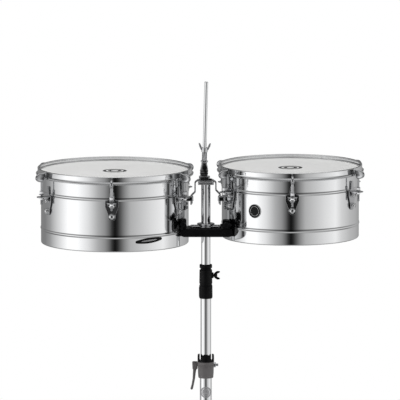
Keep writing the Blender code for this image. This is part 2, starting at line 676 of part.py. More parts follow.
def brace():
    """Flat bar up +Z from the hub's pin to the middle of the leg. Origin on the hub's pin."""
    outline = ring_points(0.0060, 9, (0, 0), pi, pi) + ring_points(0.0060, 9, (0, BRACE_LENGTH), 0, pi)
    holes = [ring_points(0.0029, 12), ring_points(0.0026, 12, (0, BRACE_LENGTH))]
    return upright(outline, 0.0050, holes)


def rubber_foot():
    """Boot over the leg's plug, rounded below. Origin at the centre of its round end."""
    r, mouth, top = FOOT_RADIUS, 0.0072, 0.0290
    profile = [(mouth + 0.003, top), (0.0125, top - 0.003), (r - 0.001, 0.006), (r, 0)]
    profile += [(r * cos(a), -r * sin(a)) for a in (radians(30), radians(60))]
    profile += [(0, -r), (0, 0.0040), (mouth, 0.0040), (mouth, top)]
    return turned(profile, 24, closed=True)


def build_tripod():
    floor = empty("tripod_axis", (0, 0, 0), parent=COLUMN)
    place("tripod_slider", tripod_slider(), BLACK, (0, 0, SLIDER_PIVOT), parent=floor)
    place("tripod_hub", tripod_hub(), BLACK, (0, 0, HUB_PIVOT), parent=floor)
    screw_axis = empty("slider_screw_axis", (SLIDER_SCREW_X, 0, SLIDER_PIVOT), (0, pi / 2, 0), floor)
    reach = SLIDER_SCREW_X - LOWER_TUBE["radius"] - GAP
    screw = wing_screw((0.0028, reach), (0.0045, 0.0090), (0.0115, 0.0150, 0.0042))
    place("slider_wing_screw", screw, BLACK, parent=screw_axis)
    leg_mesh, brace_mesh, foot_mesh = leg(), brace(), rubber_foot()
    for name, degrees_round in LEG_TURNS.items():
        turn = radians(degrees_round)
        out = Vector((cos(turn), sin(turn), 0)) * PIVOT_RADIUS
        top = empty(f"{name}_leg_pivot", out + Vector((0, 0, SLIDER_PIVOT)), (0, 0, turn), floor)
        swing = empty(f"{name}_leg_swing", (0, 0, 0), (0, -SPREAD_OPEN, 0), top)
        place(f"{name}_leg", leg_mesh, STEEL, parent=swing)
        place(f"{name}_foot", foot_mesh, RUBBER, (0, 0, -LEG_LENGTH), parent=swing)
        low = empty(f"{name}_brace_pivot", out + Vector((0, 0, HUB_PIVOT)), (0, 0, turn), floor)
        place(f"{name}_brace", brace_mesh, STEEL, turn=(0, SPREAD_OPEN, 0), parent=low)


build_drums()
build_stand_top()
build_column()
build_tripod()
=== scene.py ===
"""Looks for the timbales: two chrome drums on a sliding column stand with a folding tripod.

Metres, +Z up, +X to the right and -Y to the front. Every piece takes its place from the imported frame.
"""

from math import atan2, cos, degrees, pi, radians, sin, sqrt, tan

import bmesh
import bpy
from mathutils import Matrix, Vector


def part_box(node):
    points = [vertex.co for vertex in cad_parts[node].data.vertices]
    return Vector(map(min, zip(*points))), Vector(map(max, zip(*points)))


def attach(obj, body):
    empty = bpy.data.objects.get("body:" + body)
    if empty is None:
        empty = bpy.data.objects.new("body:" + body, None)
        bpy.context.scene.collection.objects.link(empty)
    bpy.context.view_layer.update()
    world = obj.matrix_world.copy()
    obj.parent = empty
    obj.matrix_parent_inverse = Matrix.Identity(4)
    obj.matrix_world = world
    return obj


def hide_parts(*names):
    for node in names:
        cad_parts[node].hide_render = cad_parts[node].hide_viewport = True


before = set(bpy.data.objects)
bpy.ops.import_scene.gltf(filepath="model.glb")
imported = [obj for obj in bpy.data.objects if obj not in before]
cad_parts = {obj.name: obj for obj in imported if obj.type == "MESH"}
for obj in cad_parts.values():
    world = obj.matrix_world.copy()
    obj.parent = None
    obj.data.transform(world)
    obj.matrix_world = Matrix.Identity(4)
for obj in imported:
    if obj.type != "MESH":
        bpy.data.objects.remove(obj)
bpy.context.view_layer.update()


# Places read from the frame


def middle(node):
    low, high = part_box(node)
    return (low + high) / 2


def tube_radius(node):
    low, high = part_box(node)
    return (high.y - low.y) / 2


COLUMN = middle("lower_tube")
COLUMN.z = 0.0
FLOOR = 0.0
SLIP = 0.0003  # between parts that slide or rest on each other


# Materials


class Look:
    """A node material with short ways to add the textures that every finish here needs."""

    def __init__(self, name, color, metallic=0.0, roughness=0.5):
        self.made = bpy.data.materials.new(name)
        self.made.use_nodes = True
        self.tree = self.made.node_tree
        self.shader = self.tree.nodes["Principled BSDF"]
        self.shader.inputs["Base Color"].default_value = (*color, 1)
        self.shader.inputs["Metallic"].default_value = metallic
        self.shader.inputs["Roughness"].default_value = roughness
        self.place = self.tree.nodes.new("ShaderNodeTexCoord").outputs["Object"]
        self.height = None

    def join(self, source, target):
        self.tree.links.new(source, target)
        return self

    def noise(self, scale, detail=2.0, stretch=(1, 1, 1)):
        """Noise at so many grains a metre, longer along an axis whose stretch is under 1."""
        mapping = self.tree.nodes.new("ShaderNodeMapping")
        mapping.inputs["Scale"].default_value = stretch
        self.join(self.place, mapping.inputs["Vector"])
        texture = self.tree.nodes.new("ShaderNodeTexNoise")
        texture.inputs["Scale"].default_value = scale
        texture.inputs["Detail"].default_value = detail
        self.join(mapping.outputs["Vector"], texture.inputs["Vector"])
        return texture.outputs["Fac"]

    def spread(self, source, low, high, start=0.3, end=0.7):
        """A texture's start to end, as low to high."""
        node = self.tree.nodes.new("ShaderNodeMapRange")
        for key, value in (("From Min", start), ("From Max", end), ("To Min", low), ("To Max", high)):
            node.inputs[key].default_value = value
        self.join(source, node.inputs["Value"])
        return node.outputs["Result"]

    def rough(self, source, low, high):
        return self.join(self.spread(source, low, high), self.shader.inputs["Roughness"])

    def tint(self, source, dark, light, start=0.3, end=0.7):
        """Two colours, mixed by a texture."""
        share = self.spread(source, 0, 1, start, end)
        mix = self.tree.nodes.new("ShaderNodeMix")
        mix.data_type = "RGBA"
        mix.inputs["A"].default_value = (*dark, 1)
        mix.inputs["B"].default_value = (*light, 1)
        self.join(share, mix.inputs["Factor"])
        return self.join(mix.outputs["Result"], self.shader.inputs["Base Color"])

    def bump(self, source, depth):
        """A relief so many metres deep, on top of the one before."""
        node = self.tree.nodes.new("ShaderNodeBump")
        node.inputs["Strength"].default_value = 1.0
        node.inputs["Distance"].default_value = depth
        self.join(source, node.inputs["Height"])
        if self.height:
            self.join(self.height, node.inputs["Normal"])
        self.height = node.outputs["Normal"]
        return self.join(self.height, self.shader.inputs["Normal"])


def finish(look, gloss, tints, reliefs=(), specular=None):
    """Gives a look its textures, each a noise of (scale, detail).

    gloss ends with the low and high roughness, tints with the dark and light colour. A relief ends with its
    depth in metres, and may add the noise's stretch.
    """
    if specular is not None:
        look.shader.inputs["Specular IOR Level"].default_value = specular
    scale, detail, low, high = gloss
    look.rough(look.noise(scale, detail), low, high)
    scale, detail, dark, light = tints
    look.tint(look.noise(scale, detail), dark, light)
    for scale, detail, depth, *stretch in reliefs:
        look.bump(look.noise(scale, detail, *stretch), depth)
    return look


def chrome(name, smear):
    """Mirror plating: faint polishing lines round the piece, and a slow smear in its gloss."""
    look = Look(name, (0.74, 0.745, 0.75), 1.0, 0.05)
    tints = (5, 3, (0.715, 0.722, 0.732), (0.762, 0.766, 0.77))
    return finish(look, (14, 4, *smear), tints, [(700, 2, 0.0000006, (1, 1, 0.04)), (26, 1, 0.00001)])


BLACK_SPECULAR = 0.12

# Glossy black enamel, silver and dark ink, and the sticker on the tube
ENAMEL = finish(
    Look("black_enamel", (0.008, 0.008, 0.009), 0.0, 0.22),
    (200, 3, 0.16, 0.3),
    (120, 3, (0.002, 0.002, 0.0025), (0.005, 0.005, 0.0055)),
    [(500, 2, 0.000006)],
    BLACK_SPECULAR,
)
SILVER_INK = finish(
    Look("silver_ink", (0.34, 0.34, 0.35), 0.6, 0.4),
    (400, 3, 0.32, 0.5),
    (600, 3, (0.28, 0.28, 0.29), (0.4, 0.4, 0.41)),
)
HEAD_INK = finish(
    Look("dark_print", (0.05, 0.05, 0.052), 0.0, 0.6),
    (300, 3, 0.52, 0.7),
    (700, 4, (0.015, 0.015, 0.016), (0.05, 0.05, 0.052)),
)
BADGE_GREY = finish(
    Look("grey_badge_plate", (0.42, 0.42, 0.43), 0.3, 0.38),
    (300, 3, 0.3, 0.46),
    (160, 3, (0.38, 0.38, 0.39), (0.47, 0.47, 0.48)),
    [(800, 3, 0.00001)],
)
CHROME = chrome("chrome_plate", (0.03, 0.075))

# Plating on the small castings: darker than the shells' chrome, the darkness painted shade for their dark
# reflections, and sharper
SHADE_DARKENED_CHROME = finish(
    Look("shade_darkened_plate", (0.52, 0.525, 0.535), 1.0, 0.04),
    (40, 3, 0.03, 0.075),
    (22, 3, (0.48, 0.485, 0.495), (0.56, 0.565, 0.575)),
    [(160, 2, 0.000005)],
)
SATIN = chrome("satin_chrome", (0.16, 0.26))

# Plated steel strip and pressings, softer than the drums' chrome
ZINC = finish(
    Look("zinc_plate", (0.6, 0.61, 0.62), 1.0, 0.26),
    (60, 4, 0.17, 0.36),
    (35, 4, (0.5, 0.51, 0.53), (0.68, 0.685, 0.69)),
    [(900, 3, 0.00001)],
)

# Powder-coated castings and moulded nylon with a fine grain, and the lower clamp's grey moulding
BLACK = finish(
    Look("black_powder_coat", (0.004, 0.004, 0.0045), 0.0, 0.42),
    (90, 3, 0.34, 0.52),
    (40, 3, (0.0025, 0.0025, 0.003), (0.006, 0.006, 0.0065)),
    [(1500, 3, 0.000035)],
    BLACK_SPECULAR,
)
GREY = finish(
    Look("grey_moulding", (0.165, 0.156, 0.156), 0.0, 0.45),
    (90, 3, 0.38, 0.55),
    (45, 3, (0.145, 0.137, 0.137), (0.19, 0.18, 0.18)),
    [(1500, 3, 0.000035)],
)
RUBBER = finish(
    Look("black_rubber", (0.02, 0.02, 0.021), 0.0, 0.78),
    (120, 4, 0.66, 0.88),
    (30, 4, (0.014, 0.014, 0.015), (0.034, 0.033, 0.032)),
    [(700, 4, 0.00006)],
)

# Coated plastic film: off white, with the fine sandy coating that brushes need
FILM = finish(
    Look("coated_film", (0.9, 0.9, 0.89), 0.0, 0.5),
    (30, 4, 0.42, 0.6),
    (9, 5, (0.87, 0.87, 0.862), (0.92, 0.92, 0.914)),
    [(1300, 5, 0.00006)],
)


# Shapes

# A face so many times its neighbour's size, at more than this angle to it, keeps a sharp edge
FLAT_RATIO = 12
FLAT_COSINE = cos(radians(4))

# Sides of what is turned: whole drums, collars and tubes
FULL_TURN = 256
COLLAR_STEPS = 96
TUBE_STEPS = 72


def lathe(profile, steps=160, closed=True):
    """A profile of (radius, height) points turned about Z."""
    bm = bmesh.new()
    points = [bm.verts.new((r, 0, z)) for r, z in profile]
    pairs = list(zip(points, points[1:]))
    if closed:
        pairs.append((points[-1], points[0]))
    edges = [bm.edges.new(pair) for pair in pairs]
    bmesh.ops.spin(bm, geom=points + edges, axis=(0, 0, 1), angle=2 * pi, steps=steps, use_merge=True)
    bmesh.ops.remove_doubles(bm, verts=bm.verts, dist=0.000001)
    bmesh.ops.recalc_face_normals(bm, faces=bm.faces)
    return bm


def rounded(points, radius, steps=5, closed=True):
    """An outline with its corners turned into arcs. A point may carry its own radius as a third number."""
    made = []
    count = len(points)
    for i, point in enumerate(points):
        here = Vector(point[:2])
        turn = point[2] if len(point) > 2 else radius
        if turn <= 0 or not closed and i in (0, count - 1):
            made.append(tuple(here))
            continue
        before = Vector(points[i - 1][:2]) - here
        after = Vector(points[(i + 1) % count][:2]) - here
        half = before.angle(after) / 2
        reach = min(turn / tan(half), before.length * 0.48, after.length * 0.48) if half > 0.01 else 0
        if reach <= 0 or half > pi / 2 - 0.01:
            made.append(tuple(here))
            continue
        turn = reach * tan(half)
        centre = here + (before.normalized() + after.normalized()).normalized() * (turn / sin(half))
        start = here + before.normalized() * reach - centre
        last = here + after.normalized() * reach - centre
        sweep = start.angle_signed(last)
        for k in range(steps + 1):
            made.append(tuple(centre + Matrix.Rotation(-sweep * k / steps, 2) @ start))
    return made


def box_outline(left, right, low, high, radius=0.0, steps=5):
    """A rectangle with rounded corners."""
    return rounded([(left, low), (right, low), (right, high), (left, high)], radius, steps)


def arc(radius, start, finish, steps=12, centre=(0.0, 0.0)):
    """Points along an arc, angles in degrees."""
    return [
        (centre[0] + radius * cos(radians(start + (finish - start) * k / steps)),
         centre[1] + radius * sin(radians(start + (finish - start) * k / steps)))
        for k in range(steps + 1)
    ]


def plate(outline, thickness, edge=0.0004, holes=(), steps=2):
    """A flat outline in X and Y, its thickness about z = 0, with rounded edges."""
    edge = min(edge, thickness * 0.49)
    curve = bpy.data.curves.new("plate", "CURVE")
    curve.dimensions = "2D"
    curve.fill_mode = "BOTH"
    curve.extrude = thickness / 2 - edge
    curve.bevel_depth = edge
    curve.bevel_resolution = steps
    curve.offset = -edge
    for loop in (outline, *holes):
        spline = curve.splines.new("POLY")
        spline.points.add(len(loop) - 1)
        for point, (x, y) in zip(spline.points, loop):
            point.co = (x, y, 0, 1)
        spline.use_cyclic_u = True
    return from_curve(curve)


def linked(name, data):
    """A new object in the scene."""
    made = bpy.data.objects.new(name, data)
    bpy.context.scene.collection.objects.link(made)
    return made


def evaluated(made):
    """A curve or a mesh with modifiers, worked out as a bmesh."""
    bpy.context.view_layer.update()
    seen = made.evaluated_get(bpy.context.evaluated_depsgraph_get())
    bm = bmesh.new()
    bm.from_mesh(seen.to_mesh())
    seen.to_mesh_clear()
    return bm


def emptied(bm, name):
    """The bmesh as a mesh, the bmesh itself given up."""
    mesh = bpy.data.meshes.new(name)
    bm.to_mesh(mesh)
    bm.free()
    return mesh


def from_curve(curve):
    made = linked("curve", curve)
    bm = evaluated(made)
    bpy.data.objects.remove(made, do_unlink=True)
    bpy.data.curves.remove(curve)
    bmesh.ops.remove_doubles(bm, verts=bm.verts, dist=0.000002)
    bmesh.ops.recalc_face_normals(bm, faces=bm.faces)
    return bm


def screwed(radius, length, pitch, depth=None, sides=20, per_turn=4):
    """A threaded stud up +Z, its thread a helix."""
    depth = depth or pitch * 0.45
    rings = max(int(length / pitch * per_turn), 2)
    bm = bmesh.new()
    loops = []
    for i in range(rings + 1):
        height = length * i / rings
        loop = []
        for k in range(sides):
            phase = (height / pitch - k / sides) % 1.0
            r = radius - depth * (1 - abs(2 * phase - 1)) - (depth if i in (0, rings) else 0)
            angle = 2 * pi * k / sides
            loop.append(bm.verts.new((r * cos(angle), r * sin(angle), height)))
        loops.append(loop)
    for low, high in zip(loops, loops[1:]):
        for k in range(sides):
            bm.faces.new((low[k], low[(k + 1) % sides], high[(k + 1) % sides], high[k]))
    bm.faces.new(loops[0][::-1])
    bm.faces.new(loops[-1])
    return bm


def joined(*parts):
    """Several meshes in one, each (mesh, where it goes) or a mesh that stays where it is."""
    whole = bmesh.new()
    for part in parts:
        bm, where = part if isinstance(part, tuple) else (part, Matrix.Identity(4))
        bmesh.ops.transform(bm, matrix=where, verts=bm.verts)
        mesh = emptied(bm, "joined")
        whole.from_mesh(mesh)
        bpy.data.meshes.remove(mesh)
    return whole


def shift(x=0.0, y=0.0, z=0.0):
    return Matrix.Translation((x, y, z))


def spin(degrees_round, axis="Z"):
    return Matrix.Rotation(radians(degrees_round), 4, axis)


def on_column(z=0.0):
    return shift(COLUMN.x, COLUMN.y, z)


UPRIGHT = spin(90, "X")  # an outline in X and Y stands up in X and Z
SIDEWAYS = spin(90) @ UPRIGHT  # an outline in X and Y stands up in Y and Z, facing +X


def keep_flats(mesh):
    """Sharp edges where a large face meets the small ones of its rounded rim, so that it shades flat."""
    beside = {}
    for face in mesh.polygons:
        for key in face.edge_keys:
            beside.setdefault(key, []).append((face.area, face.normal))
    for edge in mesh.edges:
        faces = beside.get(edge.key, [])
        if len(faces) != 2:
            continue
        (area, normal), (other_area, other_normal) = faces
        small, large = sorted((area, other_area))
        if large > FLAT_RATIO * small and normal.dot(other_normal) < FLAT_COSINE:
            edge.use_edge_sharp = True


def mesh_of(bm, name, look, crease=35):
    """A smooth mesh in one finish, sharp where its faces turn by more than the crease."""
    mesh = emptied(bm, name)
    mesh.shade_smooth()
    mesh.set_sharp_from_angle(angle=radians(crease))
    keep_flats(mesh)
    mesh.materials.append(look.made)
    return mesh


def piece(name, mesh, body, nodes, where):
    """A finished piece on its CAD body, standing for the CAD nodes that it replaces."""
    made = linked(name, mesh)
    made.matrix_world = where
    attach(made, body)
    if nodes:
        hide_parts(*nodes)


def cut(base, *cutters, operation="DIFFERENCE"):
    """The base mesh with each cutter taken away, added or intersected."""
    whole, *tools = [linked("solid", emptied(bm, "solid")) for bm in (base, *cutters)]
    for tool in tools:
        step = whole.modifiers.new("cut", "BOOLEAN")
        step.operation = operation
        step.solver = "EXACT"
        step.object = tool
    bm = evaluated(whole)
    for made in (whole, *tools):
        mesh = made.data
        bpy.data.objects.remove(made, do_unlink=True)
        bpy.data.meshes.remove(mesh)
    return bm


def post(radius, low, high, steps):
    """A cylinder to cut with."""
    return lathe([(0, low), (radius, low), (radius, high), (0, high)], steps, closed=False)


def slab(outline, thickness):
    """A plate to cut with."""
    return plate(outline, thickness, 0.0001)


def moved(bm, matrix):
    bmesh.ops.transform(bm, matrix=matrix, verts=bm.verts)
    return bm


def strip(path, thickness, depth, bend, edge=0.0005):
    """A bent strip: the path is its middle line in X and Z, its depth lies along Y."""
    line = rounded(path, bend, 6, closed=False)
    points = [Vector(p) for p in line]
    left, right = [], []
    for i, point in enumerate(points):
        before = (point - points[i - 1]).normalized() if i else (points[1] - point).normalized()
        after = (points[i + 1] - point).normalized() if i < len(points) - 1 else before
        way = (before + after).normalized()
        side = Vector((-way.y, way.x)) * (thickness / 2 / max(way.dot(before), 0.3))
        left.append(tuple(point + side))
        right.append(tuple(point - side))
    return moved(plate(left + right[::-1], depth, edge), UPRIGHT)


def ring(outer, inner, thickness, steps=40):
    return lathe(box_outline(inner, outer, 0, thickness, thickness * 0.25, 2), steps)


# Fasteners


def hex_nut(across, height, bore):
    """A nut with chamfered corners: half its width across corners, up +Z from z = 0."""
    corners = [(across * cos(radians(60 * k)), across * sin(radians(60 * k))) for k in range(6)]
    hole = arc(bore, 0, 340, 17)
    bm = plate(corners, height, height * 0.12, [hole], steps=1)
    bmesh.ops.translate(bm, vec=(0, 0, height / 2), verts=bm.verts)
    return bm


def dome_bolt():
    """Washer and domed head with a socket, up +Z."""
    washer = rounded([(0.0, 0.0), (0.0074, 0.0), (0.0074, 0.001, 0.0004), (0.0, 0.001)], 0, 3)
    dome = [(0.0064, 0.0008), (0.0065, 0.0026)]
    dome += [(0.0026 + 0.0039 * c, 0.0034 + 0.0052 * s) for c, s in arc(1.0, 0, 90, 10)]
    socket = [(0.0023, 0.0083), (0.0022, 0.0062), (0.0, 0.006)]
    return joined(lathe(washer, 40), lathe([(0.0, 0.0008)] + dome + socket, 40, closed=False))


def pan_screw(radius):
    """A small plain screw head: a low dome, up +Z."""
    dome = [(radius * c, radius * 0.55 * s) for c, s in arc(1.0, 0, 90, 6)]
    return lathe([(0, -0.0004), (radius, -0.0004)] + dome, 24, closed=False)


def wing_outline(reach, height, root, hub_height):
    """Both wings of a thumb screw, seen from the side: ears that swell towards their tips."""
    ear = [
        (root, 0.0012, 0.001), (reach * 0.62, height * 0.14, 0.004), (reach, height * 0.52, 0.0035),
        (reach * 0.98, height, 0.0035), (reach * 0.66, height * 1.02, 0.0035),
        (root * 0.9, hub_height * 0.86, 0.003),
    ]
    other = [(-x, y, r) for x, y, r in reversed(ear)]
    return rounded(ear + other, 0.002, 5)


def thumb_screw(shaft, hub, wings):
    """Hub with two ears and a threaded shaft down -Z.

    The shaft is (radius, length), the hub (radius, height) and the wings (reach, height, thickness).
    """
    reach, height, thick = wings
    radius, tall = hub
    ears = moved(plate(wing_outline(reach, height, radius * 0.75, tall), thick, thick * 0.42, steps=4),
                 UPRIGHT)
    body = lathe(rounded([(0, 0), (radius, 0, 0.0006), (radius * 0.85, tall, 0.0018), (0, tall)], 0, 5), 40)
    stud = moved(screwed(*shaft, 0.001), shift(0, 0, -shaft[1]))
    return joined(ears, body, stud)


def rivet(radius, half):
    """A pin with a low domed head at both ends, along Z."""
    head = radius * 1.75
    tall = radius * 0.75
    side = [(radius, half - 0.0002), (head, half - 0.0002)]
    side += [(head * c, half + tall * s) for c, s in arc(1.0, 12, 90, 6)]
    other = [(r, -z) for r, z in reversed(side)]
    return lathe(other + side, 28, closed=False)


# Drums

BEAD_RISE = 0.0018  # in the frame's solids
SHELL_BEAD = 0.0013  # as drawn
BEAD_HALF = 0.0045
SHELL_WALL = 0.0012
FOOT_RIM = 0.006
HOOP_LIP = 0.004
HOOP_WALL = 0.0023
ROD_OUT = 0.0195
ROD_RADIUS = 0.00275
HOOK_SEAT = -0.0382
LUG_TONGUE = 0.024
LUGS = range(1, 7)
LUG_BOLTS = (-0.0095, -0.0355)
BEADS = {"left": (0.0366, 0.1273), "right": (0.035, 0.1242)}


class Drum:
    """One drum's sizes, read from the frame."""

    def __init__(self, side):
        self.side = side
        low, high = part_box(f"{side}_shell")
        self.centre = Vector(((low.x + high.x) / 2, (low.y + high.y) / 2, 0))
        self.radius = (high.x - low.x) / 2 - BEAD_RISE
        self.bottom, self.top = low.z, high.z
        low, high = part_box(f"{side}_counterhoop")
        self.hoop_foot, self.hoop_top = low.z, high.z
        self.hoop_radius = (high.x - low.x) / 2 - HOOP_LIP
        self.head_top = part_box(f"{side}_drumhead")[1].z
        self.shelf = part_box(f"{side}_lug_bracket_1")[1].z - LUG_TONGUE
        self.beads = BEADS[side]

    def turn_of(self, k):
        """The direction of a lug from the drum's axis, in degrees."""
        seat = middle(f"{self.side}_lug_bracket_{k}") - self.centre
        return degrees(atan2(seat.y, seat.x))

    def at(self, z=0.0):
        return shift(self.centre.x, self.centre.y, z)


DRUMS = {side: Drum(side) for side in ("left", "right")}


def build_shell(drum):
    """Sheet shell, beaded twice, with a rolled foot."""
    depth = drum.top - drum.bottom
    r = drum.radius

    def outside(height):
        rise = 0.0
        for bead in drum.beads:
            share = abs(height - bead) / BEAD_HALF
            if share < 1:
                rise = SHELL_BEAD * (0.5 + 0.5 * cos(pi * share)) ** 0.8
        return r + rise

    heights = [depth - 0.001]
    for bead in sorted(drum.beads, reverse=True):
        heights.append(bead + BEAD_HALF * 1.25)
        heights += [bead + BEAD_HALF * (1 - k / 8) for k in range(17)]
        heights.append(bead - BEAD_HALF * 1.25)
    outer = [(r - 0.0004, depth), (r, depth - 0.0004)] + [(outside(h), h) for h in heights]
    foot = arc(0.0028, 0, -90, 8, (r - 0.0028, 0.0028))
    lip = [(r - FOOT_RIM + 0.0004, 0.0), (r - FOOT_RIM, 0.0004), (r - FOOT_RIM, SHELL_WALL)]
    curl = arc(0.0016, -90, 0, 6, (r - 0.0028, 0.0028))
    inner = [(outside(h) - SHELL_WALL, h) for h in reversed(heights)] + [(r - SHELL_WALL - 0.0002, depth)]
    bm = lathe(outer + foot + lip + curl + inner, FULL_TURN)
    piece(f"{drum.side}_drum_shell", mesh_of(bm, "shell", CHROME), "drum_section",
          [f"{drum.side}_shell"], drum.at(drum.bottom))


def build_head(drum):
    """Film that turns down over the bearing edge into a metal flesh hoop."""
    r = drum.radius
    top = drum.head_top - drum.bottom
    shell_top = drum.top - drum.bottom
    low = shell_top - 0.0097
    skirt = [(r + 0.001, top - 0.0002), (r + 0.0026, top - 0.0006), (r + 0.004, top - 0.0016)]
    film = [(0, top)] + [(r * k / 12, top) for k in range(1, 12)] + [(r - 0.004, top), (r, top)] + skirt
    film += [(r + 0.0046, top - 0.0034), (r + 0.004, top - 0.0034), (r + 0.003, top - 0.0022)]
    film += [(r + 0.001, top - 0.0012), (r * 0.5, top - 0.0006), (0, top - 0.0006)]
    bm = lathe(film, FULL_TURN, closed=False)
    made = mesh_of(bm, "film", FILM, crease=50)
    piece(f"{drum.side}_drumhead_film", made, "drum_section", [f"{drum.side}_drumhead"],
          drum.at(drum.bottom))
    hoop = rounded([(r + 0.0049, low), (r + 0.0049, top - 0.0042), (r + 0.0012, top - 0.0042),
                    (r + 0.0012, low)], 0.0012, 4)
    piece(f"{drum.side}_flesh_hoop", mesh_of(lathe(hoop, FULL_TURN), "flesh_hoop", ZINC), "drum_section",
          [], drum.at(drum.bottom))


def build_counterhoop(drum):
    """Pressed hoop: rolled top, straight wall and a lip that the claws pull on."""
    out = drum.hoop_radius
    inner = out - HOOP_WALL
    high = drum.hoop_top - drum.hoop_foot
    press = drum.head_top + SLIP - drum.hoop_foot
    flange = drum.radius + 0.0014
    roll = 0.0019
    profile = [(out + HOOP_LIP - 0.0008, 0.0003), (out + HOOP_LIP, 0.0034)]
    profile += [(out + HOOP_LIP - 0.0005, 0.0038), (out + 0.0012, 0.0041), (out + 0.0003, 0.0046),
                (out, 0.0058)]
    profile += [(out, high - roll - 0.001)]
    profile += arc(roll, 0, 180, 14, (out + 0.0002 - roll, high - roll))
    profile += [(out - 2 * roll + 0.0006, high - roll - 0.0012), (inner, high - roll - 0.002)]
    profile += rounded([(inner, press + 0.003), (inner, press + 0.0016, 0.0008),
                        (flange, press + 0.0016, 0.0007), (flange, press, 0.0005), (inner, press, 0.0004),
                        (inner, press - 0.003)], 0, 3, closed=False)
    profile += [(inner, 0.0004), (inner + 0.0004, 0.0), (out + HOOP_LIP - 0.0012, 0.0)]
    bm = lathe(profile, FULL_TURN)
    piece(f"{drum.side}_rolled_hoop", mesh_of(bm, "hoop", CHROME), f"{drum.side}_hoop",
          [f"{drum.side}_counterhoop"], drum.at(drum.hoop_foot))


def lug_shape():
    """Pressed shield with a folded shelf, two domed bolts, and a nut under the shelf, out from x = 0."""
    half, waist, low = 0.0165, 0.009, -0.037
    thick, start = 0.0021, 0.0013
    outline = [(0.004, 0.024), (-0.004, 0.024), (-0.006, 0.006), (-half, 0.0005), (-half, -0.012)]
    outline += [(-waist - 0.0006, -0.03, 0.01)] + arc(waist, 190, 350, 10, (0, low))
    outline += [(waist + 0.0006, -0.03, 0.01), (half, -0.012), (half, 0.0005), (0.006, 0.006)]
    back = plate(rounded(outline, 0.0022, 4), thick, 0.00035, steps=2)
    shelf = [(-0.0012, -0.0112, 0.0), (0.0235, -0.0112, 0.006), (0.03, -0.0062, 0.005),
             (0.03, 0.0062, 0.005), (0.0235, 0.0112, 0.006), (-0.0012, 0.0112, 0.0)]
    hole = arc(ROD_RADIUS + 0.0006, 0, 345, 23, (ROD_OUT, 0))
    top = plate(rounded(shelf, 0.003, 5), 0.0026, 0.0008, [hole], steps=3)
    rib = rounded([(0.002, -0.002), (0.022, -0.002), (0.002, -0.012)], 0.0012, 3)
    ribs = [(plate(rib, 0.0016, 0.0005), shift(0, y, 0) @ UPRIGHT) for y in (-0.0095, 0.0095)]
    fold = arc(0.0024, 180, 270, 8, (0.0058, 0.0008)) + [(0.0036, -0.0026), (0.0026, -0.002)]
    corner = (plate(fold, 0.02, 0.0002), UPRIGHT)
    bolts = [(dome_bolt(), shift(start + thick, 0, height) @ spin(90, "Y")) for height in LUG_BOLTS]
    nut = (hex_nut(0.005, 0.0042, ROD_RADIUS + 0.0001), shift(ROD_OUT, 0, -0.0072))
    washer = (ring(0.0062, ROD_RADIUS + 0.0003, 0.001), shift(ROD_OUT, 0, -0.0039))
    shield = (back, shift(start + thick / 2) @ SIDEWAYS)
    return joined(shield, (top, shift(0, 0, -0.0013)), corner, *ribs), joined(*bolts, nut, washer)


def hook_shape(drum):
    """Claw over the hoop's lip on a threaded rod. The origin is on the rod at the hoop's foot."""
    hoop = -(ROD_OUT - (drum.hoop_radius - drum.radius))
    lip, face = hoop + HOOP_LIP, hoop + 0.0006
    outline = [(face, 0.0034, 0.0006), (face, 0.008, 0.001), (face + 0.001, 0.0152, 0.0008),
               (-0.0072, 0.014, 0.0012)]
    outline += [(0.003 + 0.013 * c, 0.0032 + 0.0104 * s) for c, s in arc(1.0, 98, -92, 20)]
    outline += [(-0.0032, -0.008, 0.0012), (lip + 0.0008, -0.003, 0.0008), (lip + 0.0008, 0.0026, 0.0006)]
    claw = plate(rounded(outline, 0, 4), 0.0082, 0.003, steps=5)
    for vertex in claw.verts:
        share = min(max(vertex.co.y / 0.0155, 0), 1)
        vertex.co.z *= 1 - 0.62 * share
    stud = screwed(ROD_RADIUS, 0.0265, 0.0009)
    neck = lathe([(0, 0.0275), (ROD_RADIUS * 0.92, 0.0275), (ROD_RADIUS * 0.92, 0.072), (0, 0.072)], 24,
                 closed=False)
    head = hex_nut(0.0052, 0.0085, 0.001)
    collar = lathe(box_outline(0, 0.0062, 0, 0.0012, 0.0003, 2), 32)
    seat = max(HOOK_SEAT, drum.shelf - drum.hoop_foot + SLIP)
    return joined((claw, UPRIGHT), (stud, shift(0, 0, -0.062)), (neck, shift(0, 0, -0.064)),
                  (head, shift(0, 0, seat + 0.0012)), (collar, shift(0, 0, seat)))


def build_lugs(drum, lug_mesh, fastener_mesh):
    hook_mesh = mesh_of(hook_shape(drum), "hook", SHADE_DARKENED_CHROME)
    for k in LUGS:
        radial = drum.at() @ spin(drum.turn_of(k))
        on_shell = radial @ shift(drum.radius, 0, drum.shelf)
        piece(f"{drum.side}_lug_{k}", lug_mesh, "drum_section", [f"{drum.side}_lug_bracket_{k}"],
              on_shell)
        piece(f"{drum.side}_lug_fasteners_{k}", fastener_mesh, "drum_section", [], on_shell)
        piece(f"{drum.side}_claw_hook_{k}", hook_mesh, f"{drum.side}_hoop",
              [f"{drum.side}_tension_hook_{k}"], radial @ shift(drum.radius + ROD_OUT, 0, drum.hoop_foot))


def build_drums():
    pressing, fasteners = lug_shape()
    # The lug shields take the darker chrome, its darkness painted shade
    lug_mesh = mesh_of(pressing, "lug", SHADE_DARKENED_CHROME)
    fastener_mesh = mesh_of(fasteners, "lug_fasteners", CHROME)
    for drum in DRUMS.values():
        build_shell(drum)
        build_head(drum)
        build_counterhoop(drum)
        build_lugs(drum, lug_mesh, fastener_mesh)


build_drums()


# Stand top, placed from the column's axis and the left shell's lower edge

LINE = DRUMS["left"].bottom
TUBE_WALL = 0.0012
ROD_LEAN = radians(1.4)
ROD_OFF = -0.0045  # the clamp's jaw beside the column
BELL_ROD_RADIUS = 0.0045


def stand(x=0.0, y=0.0, z=0.0):
    """A place measured from the column's axis and the drum line."""
    return on_column() @ shift(x, y, LINE + z)


